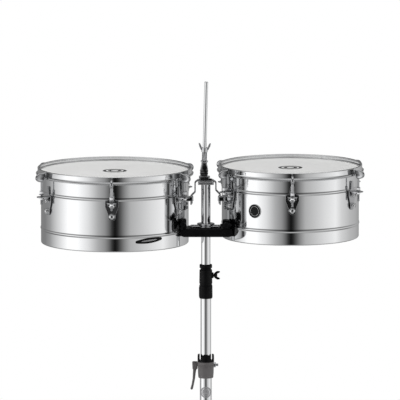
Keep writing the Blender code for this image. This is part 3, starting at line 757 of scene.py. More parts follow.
def drum_post(drum, grow):
    """The cylinder of a shell, wider by so much, measured like a place from stand()."""
    place = shift(drum.centre.x - COLUMN.x, drum.centre.y - COLUMN.y)
    return moved(post(drum.radius + grow, -0.1, 0.3, FULL_TURN), place)


def tube_piece(node, body):
    """A drawn tube with eased ends, at the CAD tube's size."""
    low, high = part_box(node)
    r = tube_radius(node)
    inside = r - TUBE_WALL
    outline = [(r, low.z), (r, high.z), (inside, high.z), (inside, low.z)]
    bm = lathe(rounded(outline, 0.0004, 3), TUBE_STEPS)
    piece(f"{node}_drawn", mesh_of(bm, node, CHROME), body, [node], on_column())


def build_top_bracket():
    """Bent strip with a hook down to each drum, under a bolted cap."""
    low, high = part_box("top_bracket")
    left, right = low.x - COLUMN.x + 0.002, high.x - COLUMN.x - 0.002
    foot = low.z - LINE
    path = [
        (left, foot, 0), (left, foot + 0.0215, 0.004), (-0.0258, foot + 0.031, 0.004),
        (-0.0258, foot + 0.0545, 0.005), (-0.0185, 0.1588, 0.004), (0.016, 0.1588, 0.004),
        (0.0241, foot + 0.0545, 0.005), (0.0241, foot + 0.0355, 0.004), (right, foot + 0.025, 0.004),
        (right, foot, 0),
    ]
    arms = strip(path, 0.0034, 0.0132, 0.004, 0.0008)
    tabs = []
    for x, way in ((left, 1), (right, -1)):
        outline = rounded([(-0.0052, -0.001), (0.0052, -0.001), (0.0052, 0.015), (0.0026, 0.02),
                           (-0.0026, 0.02), (-0.0052, 0.015)], 0.002, 4)
        tabs.append((plate(outline, 0.0022, 0.0006), shift(x + way * 0.0028, 0, foot + 0.0035) @ SIDEWAYS))
    body = box_outline(-0.0188, 0.0193, -0.015, 0.015, 0.003)
    lower = (plate(body, 0.0056, 0.0012), shift(0, 0, 0.1512))
    upper = (plate([(x * 0.92, y * 0.92) for x, y in body], 0.0042, 0.001), shift(0, 0, 0.156))
    bracket = mesh_of(joined(arms, *tabs, lower, upper), "bracket", ZINC)
    piece("hanger_bracket", bracket, "drum_section", ["top_bracket"], stand())
    cap = box_outline(-0.0135, 0.0135, -0.0118, 0.0118, 0.0045, 6)
    screws = [(pan_screw(0.0026), shift(x, -0.0085, 0.1608)) for x in (-0.0108, 0.0118)]
    top = joined((plate(cap, 0.003, 0.0009), shift(0.0012, 0, 0.1594)), *screws)
    piece("hanger_cap", mesh_of(top, "cap", BLACK), "drum_section", [], stand())


def cradle_shape(low, high, bore):
    """Moulded bar with round ends, an ear behind each thumb screw, hollowed to the shells and the tube."""
    left, right = low.x - COLUMN.x, high.x - COLUMN.x
    foot, top = 0.0238, 0.0444
    front, back = low.y, high.y
    half = (top - foot) / 2
    centre = (top + foot) / 2
    outline = arc(half, 90, 270, 16, (left + half, centre)) + arc(half, -90, 90, 16, (right - half, centre))
    bar = moved(plate(outline, back - front, 0.003, steps=4), shift(0, (back + front) / 2, 0) @ UPRIGHT)
    ears = []
    for side in DRUMS:
        spot = middle(f"{side}_cradle_knob") - COLUMN
        x, z = spot.x, spot.z - LINE
        ear = box_outline(-0.0085, 0.0085, centre - z - 0.004, 0.0095, 0.0045, 6)
        ears.append(moved(plate(ear, 0.024, 0.0015, steps=3), shift(x, front + 0.0135, z) @ UPRIGHT))
    whole = cut(bar, *ears, operation="UNION")
    hollows = [drum_post(drum, BEAD_RISE + SLIP) for drum in DRUMS.values()]
    hollows.append(post(bore, -0.1, 0.2, TUBE_STEPS))
    whole = cut(whole, *hollows)
    groove = box_outline(left + 0.02, right - 0.02, centre - 0.0048, centre + 0.0048, 0.004)
    return cut(whole, moved(plate(groove, 0.002, 0.0006), shift(0, front, 0) @ UPRIGHT))


def cradle_flange(low, high, bore):
    """Grooved collar on a seat plate that two screws hold, from the plate's foot up."""
    r, waist = 0.021, 0.017
    tall = high.z - low.z
    profile = [(r, 0), (r, 0.0026), (waist, 0.0034), (waist, tall - 0.0036), (r, tall - 0.003), (r, tall),
               (bore, tall), (bore, 0)]
    left, right = low.x - COLUMN.x, high.x - COLUMN.x
    seat = box_outline(left, right, -0.016, 0.016, 0.006, 6)
    seat = moved(plate(seat, 0.0034, 0.0009, [arc(bore, 0, 355, 71)], steps=3), shift(0, 0, 0.0017))
    heads = [(pan_screw(0.0036), shift(x, 0, 0.0034)) for x in (left + 0.009, right - 0.009)]
    return joined(lathe(rounded(profile, 0.0006, 3), COLLAR_STEPS), seat, *heads)


def build_cradle():
    """Moulded bar between the shells, its clamping collar and the two thumb screws."""
    low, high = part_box("cradle_bar")
    front = low.y
    bore = tube_radius("upper_tube") + SLIP
    bar = mesh_of(cradle_shape(low, high, bore), "cradle", BLACK)
    piece("cradle_moulding", bar, "drum_section", ["cradle_bar"], stand())
    low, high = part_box("cradle_collar")
    flange = cradle_flange(low, high, bore)
    piece("cradle_flange", mesh_of(flange, "flange", SHADE_DARKENED_CHROME), "drum_section", ["cradle_collar"],
          on_column(low.z))
    screw = thumb_screw((0.003, 0.0118), (0.0066, 0.015), (0.0141, 0.013, 0.0064))
    knob = mesh_of(screw, "knob", BLACK)
    for side, turn in (("left", 76), ("right", 0)):
        node = f"{side}_cradle_knob"
        spot = middle(node)
        axis = shift(spot.x, front + COLUMN.y - 0.001, spot.z) @ spin(90, "X") @ spin(turn)
        piece(f"{side}_thumb_screw", knob, f"{side}_knob", [node], axis)


def build_shell_mounts():
    """Straps bolted to the shells, each with a loop for its hook."""
    for side, way in (("left", 1), ("right", -1)):
        node = f"{side}_shell_mount"
        drum = DRUMS[side]
        low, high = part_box(node)
        tip = (high.x if way > 0 else low.x) - COLUMN.x
        hook = tip - way * 0.0055
        foot, top = low.z - LINE, high.z - LINE
        front, back = low.y, high.y
        outline = box_outline(front, back, foot, top, 0.0035)
        strap = moved(plate(outline, 0.05, 0.0006), shift(hook - way * 0.02, 0, 0) @ SIDEWAYS)
        strap = cut(strap, drum_post(drum, 0.0032), operation="INTERSECT")
        loop_line = rounded([(hook - way * 0.03, front), (tip, front, 0.003), (tip, back, 0.003),
                             (hook - way * 0.03, back)], 0, 6)
        loop = moved(plate(loop_line, 0.011, 0.0012, steps=3), shift(0, 0, 0.1135))
        slot = box_outline(hook - 0.0027, hook + 0.0027, -0.0074, 0.0074, 0.0015, 4)
        whole = cut(strap, loop, operation="UNION")
        whole = cut(whole, drum_post(drum, SLIP), moved(slab(slot, 0.04), shift(0, 0, 0.11)))
        reach = sqrt((drum.radius + 0.003) ** 2 - drum.centre.y ** 2)
        seat = drum.centre.x - COLUMN.x + way * reach
        turn = degrees(atan2(-drum.centre.y, way * reach))
        bolts = []
        for height in (foot + 0.006, foot + 0.015):
            bolts.append((dome_bolt(),
                          shift(seat, 0, height) @ spin(turn) @ spin(90, "Y") @ Matrix.Scale(0.55, 4)))
        piece(f"{side}_hanger_strap", mesh_of(joined(whole, *bolts), "strap", SHADE_DARKENED_CHROME), "drum_section",
              [node], stand())


def build_rod_clamp():
    """Clamp for the accessory rod: foot, upright jaw, black knob in front and a threaded collet."""
    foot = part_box("rod_clamp")[0].z - LINE
    lean = shift(ROD_OFF, 0, foot + 0.0067) @ Matrix.Rotation(ROD_LEAN, 4, "Y")
    base_line = box_outline(-0.0166, 0.01, -0.01, 0.01, 0.003)
    base = (plate(base_line, 0.0067, 0.0012), shift(0, 0, foot + 0.0033))
    rise = 0.0338
    jaw_line = rounded([(-0.0092, -0.002), (0.0092, -0.002), (0.0092, 0.018, 0.003), (0.006, rise, 0.004),
                        (-0.006, rise, 0.004), (-0.0092, 0.018, 0.003)], 0.001, 5)
    jaw = (plate(jaw_line, 0.0172, 0.0016, steps=3), lean @ UPRIGHT)
    # Black bands round the jaw where its grooves run: painted groove shade, raised strips rather than cuts
    groove = []
    for height in (0.006, 0.012):
        line = box_outline(-0.0098, 0.0098, height, height + 0.0022, 0.0008, 3)
        groove.append((plate(line, 0.0184, 0.0006), lean @ UPRIGHT))
    piece("rod_clamp_body", mesh_of(joined(base, jaw), "jaw", SHADE_DARKENED_CHROME), "drum_section",
          ["rod_clamp"], stand())
    painted_groove_shade = mesh_of(joined(*groove), "painted_groove_shade", BLACK)
    piece("rod_clamp_groove_shade", painted_groove_shade, "drum_section", [], stand())
    knob = [(0, 0), (0.0048, 0), (0.0052, 0.0012), (0.0058, 0.003)]
    knob += [(0.0058 * c, 0.0052 + 0.0046 * s) for c, s in arc(1.0, 0, 90, 8)]
    front = mesh_of(lathe(knob, 48, closed=False), "front_knob", BLACK)
    piece("rod_clamp_knob", front, "drum_section", [],
          stand() @ lean @ shift(0.0016, -0.0088, 0.0225) @ spin(90, "X"))
    neck = 0.0575
    stem = moved(screwed(0.0064, neck - rise + 0.002, 0.0015, 0.0006, sides=36), shift(0, 0, rise - 0.002))
    stem = joined((stem, lean), (moved(hex_nut(0.0088, 0.0045, 0.003), shift(0, 0, rise - 0.0004)), lean))
    piece("rod_collet", mesh_of(stem, "collet", ZINC), "drum_section", [], stand())


def build_accessory_rod():
    """Plain chrome rod with a chamfered tip, and the wing nut that closes the collet on it."""
    low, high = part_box("accessory_rod")
    base_height = 0.168
    base = stand(ROD_OFF, 0, base_height) @ Matrix.Rotation(ROD_LEAN, 4, "Y")
    long = (high.z - low.z) / cos(ROD_LEAN)
    start = low.z - (LINE + base_height)
    r = BELL_ROD_RADIUS
    profile = rounded([(0, start), (r, start, 0.0006), (r, start + long, 0.0012), (0, start + long)], 0,
                      closed=False)
    piece("bell_rod", mesh_of(lathe(profile, 48, closed=False), "bell_rod", SATIN), "accessory_rod",
          ["accessory_rod"], base)
    foot = 0.2262 - base_height
    bore = BELL_ROD_RADIUS + 0.0005
    hub = lathe(rounded([(bore, 0), (0.0078, 0), (0.0068, 0.011), (bore, 0.011)], 0.0008, 4), 48)
    ears = []
    for side in (-1, 1):
        ear = [(0.0052, 0.002, 0.001), (0.0092, 0.0052, 0.004), (0.0135, 0.014, 0.005),
               (0.0152, 0.0205, 0.003), (0.0128, 0.0228, 0.002), (0.0095, 0.018, 0.004),
               (0.0058, 0.0092, 0.003)]
        line = [(side * x, z, r) for x, z, r in ear]
        ears.append((plate(rounded(line, 0, 5), 0.0042, 0.0016, steps=3), UPRIGHT))
    piece("collet_wing_nut", mesh_of(joined(hub, *ears), "wing_nut", ZINC), "wing_nut",
          ["rod_wing_nut"], base @ shift(0, 0, foot))


def build_stand_top():
    tube_piece("upper_tube", "drum_section")
    build_top_bracket()
    build_shell_mounts()
    build_cradle()
    build_rod_clamp()
    build_accessory_rod()


build_stand_top()


# Column


def build_height_collar():
    """Black moulded clamp where the upper tube enters the middle one, with its wing screw."""
    low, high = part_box("height_collar")
    tall = high.z - low.z
    upper = tube_radius("upper_tube") + SLIP
    lower = tube_radius("middle_tube") + SLIP
    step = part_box("middle_tube")[1].z + SLIP - low.z
    profile = [
        (0.0146, tall, 0.001), (0.0152, tall - 0.0022, 0.001), (0.0152, tall - 0.0082, 0.001),
        (0.0129, tall - 0.0096, 0.0008), (0.0129, tall - 0.0122, 0.0008), (0.0153, tall - 0.0136, 0.0012),
        (0.0157, 0.0375, 0.001), (0.0149, 0.0355, 0.0008), (0.0149, 0.0328, 0.0008),
        (0.016, 0.0305, 0.0012),
        (0.0162, 0.003, 0.0014), (0.0152, 0.0, 0.001), (lower, 0.0, 0), (lower, step, 0),
        (upper, step, 0), (upper, tall, 0.0004),
    ]
    body = lathe(rounded(profile, 0.0005, 4), COLLAR_STEPS)
    screw = middle("height_collar_wing_screw")
    height = screw.z - low.z
    boss = rounded([(0.0, 0.009), (0.0074, 0.009), (0.007, 0.0186, 0.0012), (0.0, 0.0186)], 0, 4)
    boss = moved(lathe(boss, 48), shift(0, 0, height) @ spin(90, "Y"))
    ribs = []
    line = box_outline(-0.0006, 0.0006, 0.0048, 0.027, 0.0005, 2)
    for k in range(2, 17):  # leaves room for the boss
        ribs.append((plate(line, 0.0012, 0.0003), spin(20 * k) @ shift(0.016) @ SIDEWAYS))
    mesh = mesh_of(joined(body, boss, *ribs), "collar", BLACK)
    piece("height_clamp", mesh, "middle_section", ["height_collar"], on_column(low.z))
    start = 0.0188
    wing = thumb_screw((0.0028, start - upper), (0.0046, 0.0088), (0.0104, 0.015, 0.0044))
    piece("height_wing_screw", mesh_of(wing, "wing", BLACK), "collar_screw",
          ["height_collar_wing_screw"], shift(COLUMN.x + start, screw.y, screw.z) @ spin(90, "Y"))


def clamp_shapes(tall, step, y, height):
    """The lower clamp and its castellated crown, from the foot up. The bolt runs along X at y and height."""
    crown = tall - 0.018
    large = tube_radius("lower_tube") + SLIP
    small = tube_radius("middle_tube") + SLIP
    profile = [
        (0.0195, tall, 0.0012), (0.02, tall - 0.006, 0.001), (0.02, crown, 0.001),
        (0.0193, crown - 0.0022, 0.001), (0.0189, 0.012, 0.001), (0.018, 0.0012, 0.001),
        (0.0174, 0.0, 0.0008), (large, 0.0, 0), (large, step, 0),
        (small, step, 0), (small, tall, 0.0006),
    ]
    body = lathe(rounded(profile, 0.0005, 4), COLLAR_STEPS)
    ear = [(0.012, height - 0.013), (y + 0.007, height - 0.012, 0.006), (y + 0.007, height + 0.0105, 0.006),
           (0.012, height + 0.0115)]
    ears = []
    for side in (-1, 1):
        ears.append(moved(plate(rounded(ear, 0, 6), 0.014, 0.0014, steps=3),
                          shift(side * 0.0085) @ SIDEWAYS))
    whole = cut(body, *ears, operation="UNION")
    hollows = [post(large, -0.01, step, COLLAR_STEPS), post(small, step - 0.001, tall + 0.01, COLLAR_STEPS)]
    hollows.append(post(0.0168, crown + 0.003, tall + 0.01, COLLAR_STEPS))
    slots = [moved(slab(box_outline(-0.0012, 0.0012, 0.01, 0.05), 0.09), shift(0, 0, 0.03))]
    for turn in (45, 135):
        gap = [(-0.0045, crown + 0.0032, 0.002), (0.0045, crown + 0.0032, 0.002), (0.0048, tall + 0.01),
               (-0.0048, tall + 0.01)]
        slots.append(moved(slab(rounded(gap, 0.0005, 4), 0.1), spin(turn) @ SIDEWAYS))
    whole = cut(whole, *hollows, *slots)
    upper = moved(slab(box_outline(-0.03, 0.03, -0.03, 0.04), 0.06), shift(0, 0, crown + 0.03))
    castle = cut(whole.copy(), upper.copy(), operation="INTERSECT")
    band = moved(ring(0.0203, 0.018, 0.0024, COLLAR_STEPS), shift(0, 0, crown - 0.0105))
    return joined(cut(whole, upper), band), castle


def clamp_bolt(left, right, y, height):
    """Bolt along X: an eye for the lever's pin at its left end, a washer and a nut on the right."""
    across = spin(90, "Y")
    long = right - left
    start = 0.0036  # inside the eye's wall, clear of the pin
    shank = lathe(rounded([(0, start), (0.0031, start), (0.0031, long, 0.0006), (0, long)], 0, 4), 32)
    nut = (hex_nut(0.0064, 0.0056, 0.0022), shift(0.0182, y, height) @ across)
    washer = (ring(0.0068, 0.0034, 0.0008), shift(0.0174, y, height) @ across)
    eye = lathe(box_outline(0.0022, 0.005, -0.003, 0.003, 0.0008, 3), 32)
    at_left = shift(left, y, height)
    return joined((shank, at_left @ across), nut, washer, (eye, at_left @ spin(90, "X")))


def cam_lever():
    """Forked cam head on a flat arm, with its pin at the origin."""
    head = rounded([(-0.0074, -0.0104), (0.0048, -0.0104), (0.0054, 0.0062), (0.0036, 0.008),
                    (-0.0064, 0.008), (-0.008, 0.0062)], 0.0022, 5)
    cam = moved(plate(head, 0.014, 0.0016, steps=3), UPRIGHT)
    slot = moved(slab(box_outline(-0.0061, 0.02, -0.0062, 0.02), 0.0068), UPRIGHT)
    pin = lathe(box_outline(0, 0.002, -0.0078, 0.0078, 0.0005, 3), 24)
    blade = rounded([
        (-0.0058, -0.008, 0), (-0.0064, -0.02), (-0.007, -0.034), (-0.0094, -0.048),
        (-0.0124, -0.0582, 0.002), (-0.0106, -0.0604, 0.002), (-0.0066, -0.0592, 0.002), (-0.004, -0.048),
        (-0.0012, -0.034), (0.0004, -0.02), (0.0026, -0.008, 0),
    ], 0.008, 6)
    arm = moved(plate(blade, 0.0092, 0.0018, steps=4), UPRIGHT)
    return joined(cut(cam, slot), arm, (pin, spin(90, "X")))


def build_lower_clamp():
    """Grey split clamp with a castellated crown, closed by a bolt and a cam lever."""
    low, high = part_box("lower_clamp")
    place = on_column(low.z)
    bolt = middle("clamp_cam_bolt")
    y, height = bolt.y - COLUMN.y, bolt.z - low.z
    body, crown = clamp_shapes(high.z - low.z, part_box("lower_tube")[1].z + SLIP - low.z, y, height)
    piece("column_clamp", mesh_of(body, "clamp", GREY), "stand_base", ["lower_clamp"], place)
    piece("column_clamp_crown", mesh_of(crown, "crown", BLACK), "stand_base", [], place)
    low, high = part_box("clamp_cam_bolt")
    left, right = low.x - COLUMN.x + 0.005, high.x - COLUMN.x
    piece("clamp_bolt", mesh_of(clamp_bolt(left, right, y, height), "bolt", ZINC), "stand_base",
          ["clamp_cam_bolt"], place)
    piece("cam_lever", mesh_of(cam_lever(), "lever", GREY), "lever", ["clamp_lever"],
          place @ shift(left, y, height))


def build_column():
    tube_piece("middle_tube", "middle_section")
    tube_piece("lower_tube", "stand_base")
    build_height_collar()
    build_lower_clamp()


# Tripod

LEG_TURNS = {"left": 180.0, "back": 60.0, "front": 300.0}
SPREAD = 57.0
PIVOT_OUT = 0.029
LEG_LONG = 0.38
FOOT_ROUND = 0.016
STRIP_THICK = 0.0025
RIDGES = ((-0.022, -0.165), (-0.204, -0.325))  # pressed into each strip of a leg, above and below its pin
STRIP_INSIDE = 0.0045
PIN_RADIUS = 0.0023
HUB_HEIGHT = FOOT_ROUND
SLIDER_HEIGHT = HUB_HEIGHT + LEG_LONG * cos(radians(SPREAD))


def ring_with_ears(radius, bore, half, ears):
    """A collar with its ears spread to the three legs."""
    body = lathe(rounded([(radius, -half), (radius, half), (bore, half), (bore, -half)], 0.0012, 4),
                 COLLAR_STEPS)
    for turn in LEG_TURNS.values():
        tools = []
        for line, thick, side in ears:
            tools.append(moved(plate(line, thick, 0.0006), spin(turn) @ shift(0, side, 0) @ UPRIGHT))
        body = cut(body, *tools, operation="UNION")
    return body


def build_tripod_collars():
    bore = tube_radius("lower_tube") + SLIP
    ear = rounded([(0.0165, -0.0062)] + arc(0.0062, -90, 90, 14, (PIVOT_OUT, 0)) + [(0.0165, 0.0062)], 0, 3)
    slider = ring_with_ears(0.0195, bore, 0.012, [(ear, 2 * STRIP_INSIDE - 0.0012, 0.0)])
    boss = rounded([(0.0, 0.017), (0.0068, 0.017), (0.0062, 0.0208, 0.001), (0.0, 0.0208)], 0, 4)
    slider = joined(slider, (lathe(boss, 40), spin(90, "Y")),
                    (ring(0.0202, 0.019, 0.0022, COLLAR_STEPS), shift(0, 0, 0.0085)),
                    (ring(0.0202, 0.019, 0.0022, COLLAR_STEPS), shift(0, 0, -0.0107)))
    piece("slider_collar", mesh_of(slider, "slider", BLACK), "slider", ["tripod_slider"],
          on_column(SLIDER_HEIGHT))
    hub = ring_with_ears(0.019, bore, 0.0095, [(ear, 0.0025, -0.00415), (ear, 0.0025, 0.00415)])
    pins = []
    for turn in LEG_TURNS.values():
        pins.append((rivet(PIN_RADIUS, 0.0058), spin(turn) @ shift(PIVOT_OUT, 0, 0) @ spin(90, "X")))
    piece("hub_collar", mesh_of(joined(hub, *pins), "hub", BLACK), "stand_base",
          ["tripod_hub"], on_column(HUB_HEIGHT))
    start = 0.0205
    wing = thumb_screw((0.0028, start - bore), (0.0046, 0.0088), (0.0114, 0.015, 0.0044))
    piece("slider_thumb_screw", mesh_of(wing, "wing", BLACK), "slider_screw",
          ["slider_wing_screw"], on_column(SLIDER_HEIGHT) @ shift(start) @ spin(90, "Y"))


def leg_shape():
    """Two strips joined by their rivets and the foot's plug, down -Z from the pivot."""
    end = -(LEG_LONG - 0.03)
    half = 0.007
    line = arc(half, 0, 180, 14) + [(-half, end - 0.004, 0.003), (half, end - 0.004, 0.003)]
    centre = STRIP_INSIDE + STRIP_THICK / 2
    strips = []
    for side in (-1, 1):
        strips.append((plate(rounded(line, 0, 4), STRIP_THICK, 0.0005),
                       shift(0, side * centre, 0) @ UPRIGHT))
        for above, below in RIDGES:
            ridge = plate(box_outline(-0.002, 0.002, above, below, 0.0018, 4), 0.0012, 0.0004)
            strips.append((ridge, shift(0, side * (centre + STRIP_THICK / 2), 0) @ UPRIGHT))
    plug = lathe(box_outline(0, 0.0066, end - 0.024, end + 0.008, 0.001, 3), 32)
    pins = []
    for height in (0.0, -LEG_LONG / 2, end + 0.004):
        pins.append((rivet(PIN_RADIUS, STRIP_INSIDE + STRIP_THICK), shift(0, 0, height) @ spin(90, "X")))
    return joined(*strips, plug, *pins)


def brace_shape():
    """Flat bar up +Z from the hub's pin to the middle of the leg."""
    half, long = 0.006, LEG_LONG / 2
    line = arc(half, 180, 360, 12) + arc(half, 0, 180, 12, (0, long))
    holes = [arc(0.0028, 0, 345, 23), arc(0.0026, 0, 345, 23, (0, long))]
    bar_body = plate(line, 0.0044, 0.0008, holes, steps=3)
    ridge = box_outline(-0.0014, 0.0014, 0.018, long - 0.018, 0.0013, 4)
    return joined((bar_body, UPRIGHT), (plate(ridge, 0.005, 0.0004), UPRIGHT))


def foot_shape():
    """Ribbed rubber boot, rounded below. The origin is the centre of its round end."""
    r, mouth, top = FOOT_ROUND, 0.0072, 0.029
    profile = [(mouth + 0.0032, top, 0.0012), (0.0125, top - 0.003, 0.001)]
    for k in range(4):
        height = top - 0.0065 - 0.0042 * k
        width = 0.0128 + 0.0006 * k
        profile += [(width + 0.0006, height, 0.0006), (width + 0.0008, height - 0.0016, 0.0006),
                    (width - 0.0004, height - 0.0022, 0.0004), (width, height - 0.0036, 0.0004)]
    profile += [(r - 0.0006, 0.005, 0.002), (r, 0.001, 0)]
    profile += [(r * c, r * s) for c, s in arc(1.0, 0, -90, 14)]
    profile += [(0, 0.004), (mouth, 0.004, 0), (mouth, top, 0.0008)]
    return lathe(rounded(profile, 0, 3, closed=True), 64)


def build_tripod():
    build_tripod_collars()
    leg_mesh = mesh_of(leg_shape(), "leg", ZINC)
    brace_mesh = mesh_of(brace_shape(), "brace", ZINC)
    foot_mesh = mesh_of(foot_shape(), "foot", RUBBER)
    for name, turn in LEG_TURNS.items():
        out = on_column() @ spin(turn)
        leg_place = out @ shift(PIVOT_OUT, 0, SLIDER_HEIGHT) @ spin(-SPREAD, "Y")
        piece(f"{name}_strip_leg", leg_mesh, f"{name}_leg", [f"{name}_leg"], leg_place)
        piece(f"{name}_rubber_foot", foot_mesh, f"{name}_leg", [f"{name}_foot"],
              leg_place @ shift(0, 0, -LEG_LONG))
        piece(f"{name}_flat_brace", brace_mesh, f"{name}_brace", [f"{name}_brace"],
              out @ shift(PIVOT_OUT, 0, HUB_HEIGHT) @ spin(SPREAD, "Y"))


build_column()
build_tripod()


# Generic badges, with no lettering


def wrapped(bm, radius):
    """A flat piece in X and Z, facing -Y, laid on an upright cylinder whose axis is radius behind y = 0."""
    for vertex in bm.verts:
        share = max(min(vertex.co.x / radius, 0.999), -0.999)
        vertex.co.y += radius - radius * sqrt(1 - share * share)
    return bm


def fine(bm, cuts=3):
    """More points inside, so that a flat piece can bend."""
    bmesh.ops.triangulate(bm, faces=bm.faces)
    bmesh.ops.subdivide_edges(bm, edges=bm.edges, cuts=cuts, use_grid_fill=True)
    return bm


def disc(radius, thickness, rings=12, steps=72):
    """A thin disc built from rings, facing -Y, its back at y = 0."""
    profile = [(0, 0)] + [(radius * k / rings, 0) for k in range(1, rings)] + [(radius, 0)]
    profile += [(radius, thickness * 0.6), (radius * 0.985, thickness)]
    profile += [(radius * k / rings, thickness) for k in range(rings - 1, 0, -1)] + [(0, thickness)]
    return moved(lathe(profile, steps, closed=False), spin(90, "X"))


def build_head_prints():
    """Plain rings printed at the middle of each head."""
    for drum in DRUMS.values():
        wide = ring(0.029, 0.0215, 0.00008, COLLAR_STEPS)
        narrow = ring(0.0165, 0.009, 0.00008, COLLAR_STEPS)
        piece(f"{drum.side}_head_print", mesh_of(joined(wide, narrow), "print", HEAD_INK), "drum_section",
              [], drum.at(drum.head_top + 0.00004))


def badge_ring(outer, inner, rise, radius):
    """A ring facing -Y, laid on an upright cylinder."""
    return wrapped(moved(ring(outer, inner, rise, 72), spin(90, "X")), radius)


def build_round_badge(drum):
    """Enamel disc with two rings, between the right shell's beads."""
    height = (drum.beads[0] + drum.beads[1]) / 2 + drum.bottom + 0.0012
    place = drum.at(height) @ spin(-31.5) @ shift(0, -drum.radius - 0.0001, 0)
    badge = wrapped(disc(0.0166, 0.0012), drum.radius)
    piece("right_badge", mesh_of(badge, "badge", ENAMEL, crease=50), "drum_section", [],
          place)
    rings = joined(badge_ring(0.017, 0.016, 0.0016, drum.radius),
                   badge_ring(0.0118, 0.0109, 0.0016, drum.radius))
    piece("right_badge_rings", mesh_of(rings, "rim", CHROME), "drum_section", [], place)


def build_lens_decal(drum):
    """Lens-shaped decal with a plain stripe, low on the left shell."""
    half, tall, end = 0.0358, 0.0066, 0.0028
    upper = [(half * t, end + (tall - end) * (1 - t * t)) for t in [k / 14 - 1 for k in range(1, 28)]]
    lens = [(-half, end * 0.6), *upper, (half, end * 0.6), (half, -end * 0.6)]
    lens += [(x, -y) for x, y in reversed(upper)] + [(-half, -end * 0.6)]
    inner = [(x * 0.58, y * 0.3) for x, y in lens]
    place = drum.at(drum.bottom + 0.0262) @ spin(28.2) @ shift(0, -drum.radius - 0.0003, 0) @ spin(-4, "Y")
    for name, outline, out, look in (("decal", lens, 0, ENAMEL),
                                     ("decal_stripe", inner, 0.0002, SILVER_INK)):
        film = fine(moved(plate(outline, 0.0003, 0.0001, steps=1), shift(0, -out, 0) @ UPRIGHT), 2)
        piece(f"left_{name}", mesh_of(wrapped(film, drum.radius), name, look), "drum_section",
              [], place)


def build_tube_sticker():
    """Round sticker on the lowest tube, thin enough for the tripod's collar to slide over it."""
    radius = tube_radius("lower_tube")
    place = stand(0, 0.0001 - radius, -0.356)
    sticker = wrapped(disc(0.0136, 0.00022), radius)
    piece("tube_badge", mesh_of(sticker, "tube_badge", BADGE_GREY, crease=50), "stand_base",
          [], place)
    line = badge_ring(0.0098, 0.009, 0.00028, radius)
    piece("tube_badge_ring", mesh_of(line, "tube_ring", CHROME), "stand_base", [], place)


build_head_prints()
build_round_badge(DRUMS["right"])
build_lens_decal(DRUMS["left"])
build_tube_sticker()


# Studio

CAMERA_RISE = radians(8.05)
CAMERA_AWAY = 26.0
VIEW_WIDTH = 0.9632
AIM = Vector((0.0, 0.056, 0.852))
SENSOR = 36.0

# How bright the room is round the object, by the angle from the camera's side: a dark gap there, large
# white panels to both sides, and a greyer room behind
ROOM = [
    (-180, 0.2), (-140, 0.22), (-122, 0.34), (-97, 0.76), (-78, 1.12), (-60, 1.12), (-42, 0.82),
    (-26, 0.46), (-15, 0.3), (-9, 0.16), (-4, 0.04), (0.5, 0.004), (5, 0.026), (10, 0.11), (17, 0.28),
    (25, 0.46), (40, 0.58), (60, 0.75), (82, 0.9), (96, 0.68), (120, 0.5), (140, 0.43), (160, 0.33),
    (180, 0.2),
]

# How much of that shows at each height, in degrees over the horizon, and what the ceiling and ground add
WALLS = [
    (-90, 0.0), (-42, 0.0), (-32, 0.1), (-24, 0.75), (-15, 1.0), (2, 1.0), (12, 0.6), (22, 0.3),
    (40, 0.25), (52, 0.0), (90, 0.0),
]
CEILING_AND_GROUND = [(-90, 0.45), (-46, 0.45), (-28, 0.0), (42, 0.0), (54, 0.8), (90, 0.8)]
ROOM_POWER = 1.22


def set_steps(node, steps):
    """A ColorRamp's stops, each (position, grey)."""
    elements = node.color_ramp.elements
    while len(elements) > 1:
        elements.remove(elements[0])
    elements[0].position = steps[0][0]
    for position, _ in steps[1:]:
        elements.new(position)
    for element, (_, grey) in zip(elements, steps):
        element.color = (grey, grey, grey, 1)


def by_height(tree, rise, steps):
    """Steps by degrees over the horizon, read from the sine that the world gives."""
    share = tree.nodes.new("ShaderNodeMath")
    share.operation = "MULTIPLY_ADD"
    share.inputs[1].default_value = 0.5
    share.inputs[2].default_value = 0.5
    tree.links.new(rise, share.inputs[0])
    ramp = tree.nodes.new("ShaderNodeValToRGB")
    tree.links.new(share.outputs[0], ramp.inputs["Fac"])
    set_steps(ramp, [(sin(radians(height)) / 2 + 0.5, grey) for height, grey in steps])
    return ramp.outputs["Color"]


def studio_world():
    world = bpy.data.worlds.new("soft_studio")
    bpy.context.scene.world = world
    world.use_nodes = True
    tree = world.node_tree
    tree.nodes.clear()
    add = tree.nodes.new
    link = tree.links.new

    def math(kind, a, b=None):
        node = add("ShaderNodeMath")
        node.operation = kind
        for socket, value in zip(node.inputs, (a, b)):
            if isinstance(value, (int, float)):
                socket.default_value = value
            elif value is not None:
                link(value, socket)
        return node.outputs[0]

    split = add("ShaderNodeSeparateXYZ")
    link(add("ShaderNodeTexCoord").outputs["Generated"], split.inputs[0])
    turn = math("ARCTAN2", split.outputs["X"], math("MULTIPLY", split.outputs["Y"], -1.0))
    share = math("ADD", math("DIVIDE", turn, 2 * pi), 0.5)
    ramp = add("ShaderNodeValToRGB")
    link(share, ramp.inputs["Fac"])
    set_steps(ramp, [(angle / 360 + 0.5, bright) for angle, bright in ROOM])
    walls = math("MULTIPLY", ramp.outputs["Color"], by_height(tree, split.outputs["Z"], WALLS))
    shown = math("ADD", walls, by_height(tree, split.outputs["Z"], CEILING_AND_GROUND))
    room = add("ShaderNodeBackground")
    link(shown, room.inputs["Color"])
    room.inputs["Strength"].default_value = ROOM_POWER
    paper = add("ShaderNodeBackground")
    paper.inputs["Color"].default_value = (1, 1, 1, 1)
    chosen = add("ShaderNodeMixShader")
    link(add("ShaderNodeLightPath").outputs["Is Camera Ray"], chosen.inputs["Fac"])
    link(room.outputs[0], chosen.inputs[1])
    link(paper.outputs[0], chosen.inputs[2])
    link(chosen.outputs[0], add("ShaderNodeOutputWorld").inputs["Surface"])


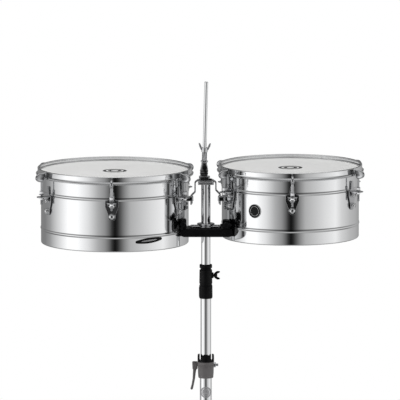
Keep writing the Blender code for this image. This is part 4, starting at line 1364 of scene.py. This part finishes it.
def studio_floor():
    """A round pale floor that runs out to white."""
    radius = 2.4
    bm = bmesh.new()
    bmesh.ops.create_circle(bm, cap_ends=True, segments=128, radius=radius)
    mesh = emptied(bm, "studio_floor")
    floor = linked("studio_floor", mesh)
    floor.location = (COLUMN.x, COLUMN.y, FLOOR - 0.0005)
    look = Look("pale_paper", (0.86, 0.86, 0.86), 0.0, 0.9)
    look.bump(look.noise(300, 3), 0.00005)
    tree = look.tree
    length = tree.nodes.new("ShaderNodeVectorMath")
    length.operation = "LENGTH"
    look.join(look.place, length.inputs[0])
    fade = look.spread(length.outputs["Value"], 0, 1, 0.9, radius)
    glow = tree.nodes.new("ShaderNodeEmission")
    glow.inputs["Color"].default_value = (1, 1, 1, 1)
    mixed = tree.nodes.new("ShaderNodeMixShader")
    look.join(fade, mixed.inputs["Fac"])
    look.join(look.shader.outputs[0], mixed.inputs[1])
    look.join(glow.outputs[0], mixed.inputs[2])
    look.join(mixed.outputs[0], tree.nodes["Material Output"].inputs["Surface"])
    mesh.materials.append(look.made)
    floor.visible_glossy = False


def softbox(name, location, target, size, power):
    data = bpy.data.lights.new(name, "AREA")
    data.shape = "RECTANGLE"
    data.size, data.size_y = size
    data.energy = power
    light = linked(name, data)
    light.location = location
    light.visible_glossy = False
    light.rotation_mode = "QUATERNION"
    light.rotation_quaternion = (Vector(target) - Vector(location)).to_track_quat("-Z", "Y")


def studio_camera():
    data = bpy.data.cameras.new("camera")
    data.sensor_width = SENSOR
    data.lens = SENSOR * CAMERA_AWAY / VIEW_WIDTH
    data.clip_start, data.clip_end = 0.1, 60.0
    camera = linked("camera", data)
    back = Vector((0, -cos(CAMERA_RISE), sin(CAMERA_RISE)))
    camera.location = AIM + back * CAMERA_AWAY
    camera.rotation_mode = "QUATERNION"
    camera.rotation_quaternion = (-back).to_track_quat("-Z", "Y")
    bpy.context.scene.camera = camera


def build_studio():
    studio_world()
    studio_floor()
    softbox("overhead_softbox", (-0.6, -0.6, 3.2), (0, 0, 0.8), (2.4, 2.4), 26)
    studio_camera()
    bpy.context.scene.view_settings.view_transform = "Standard"


build_studio()
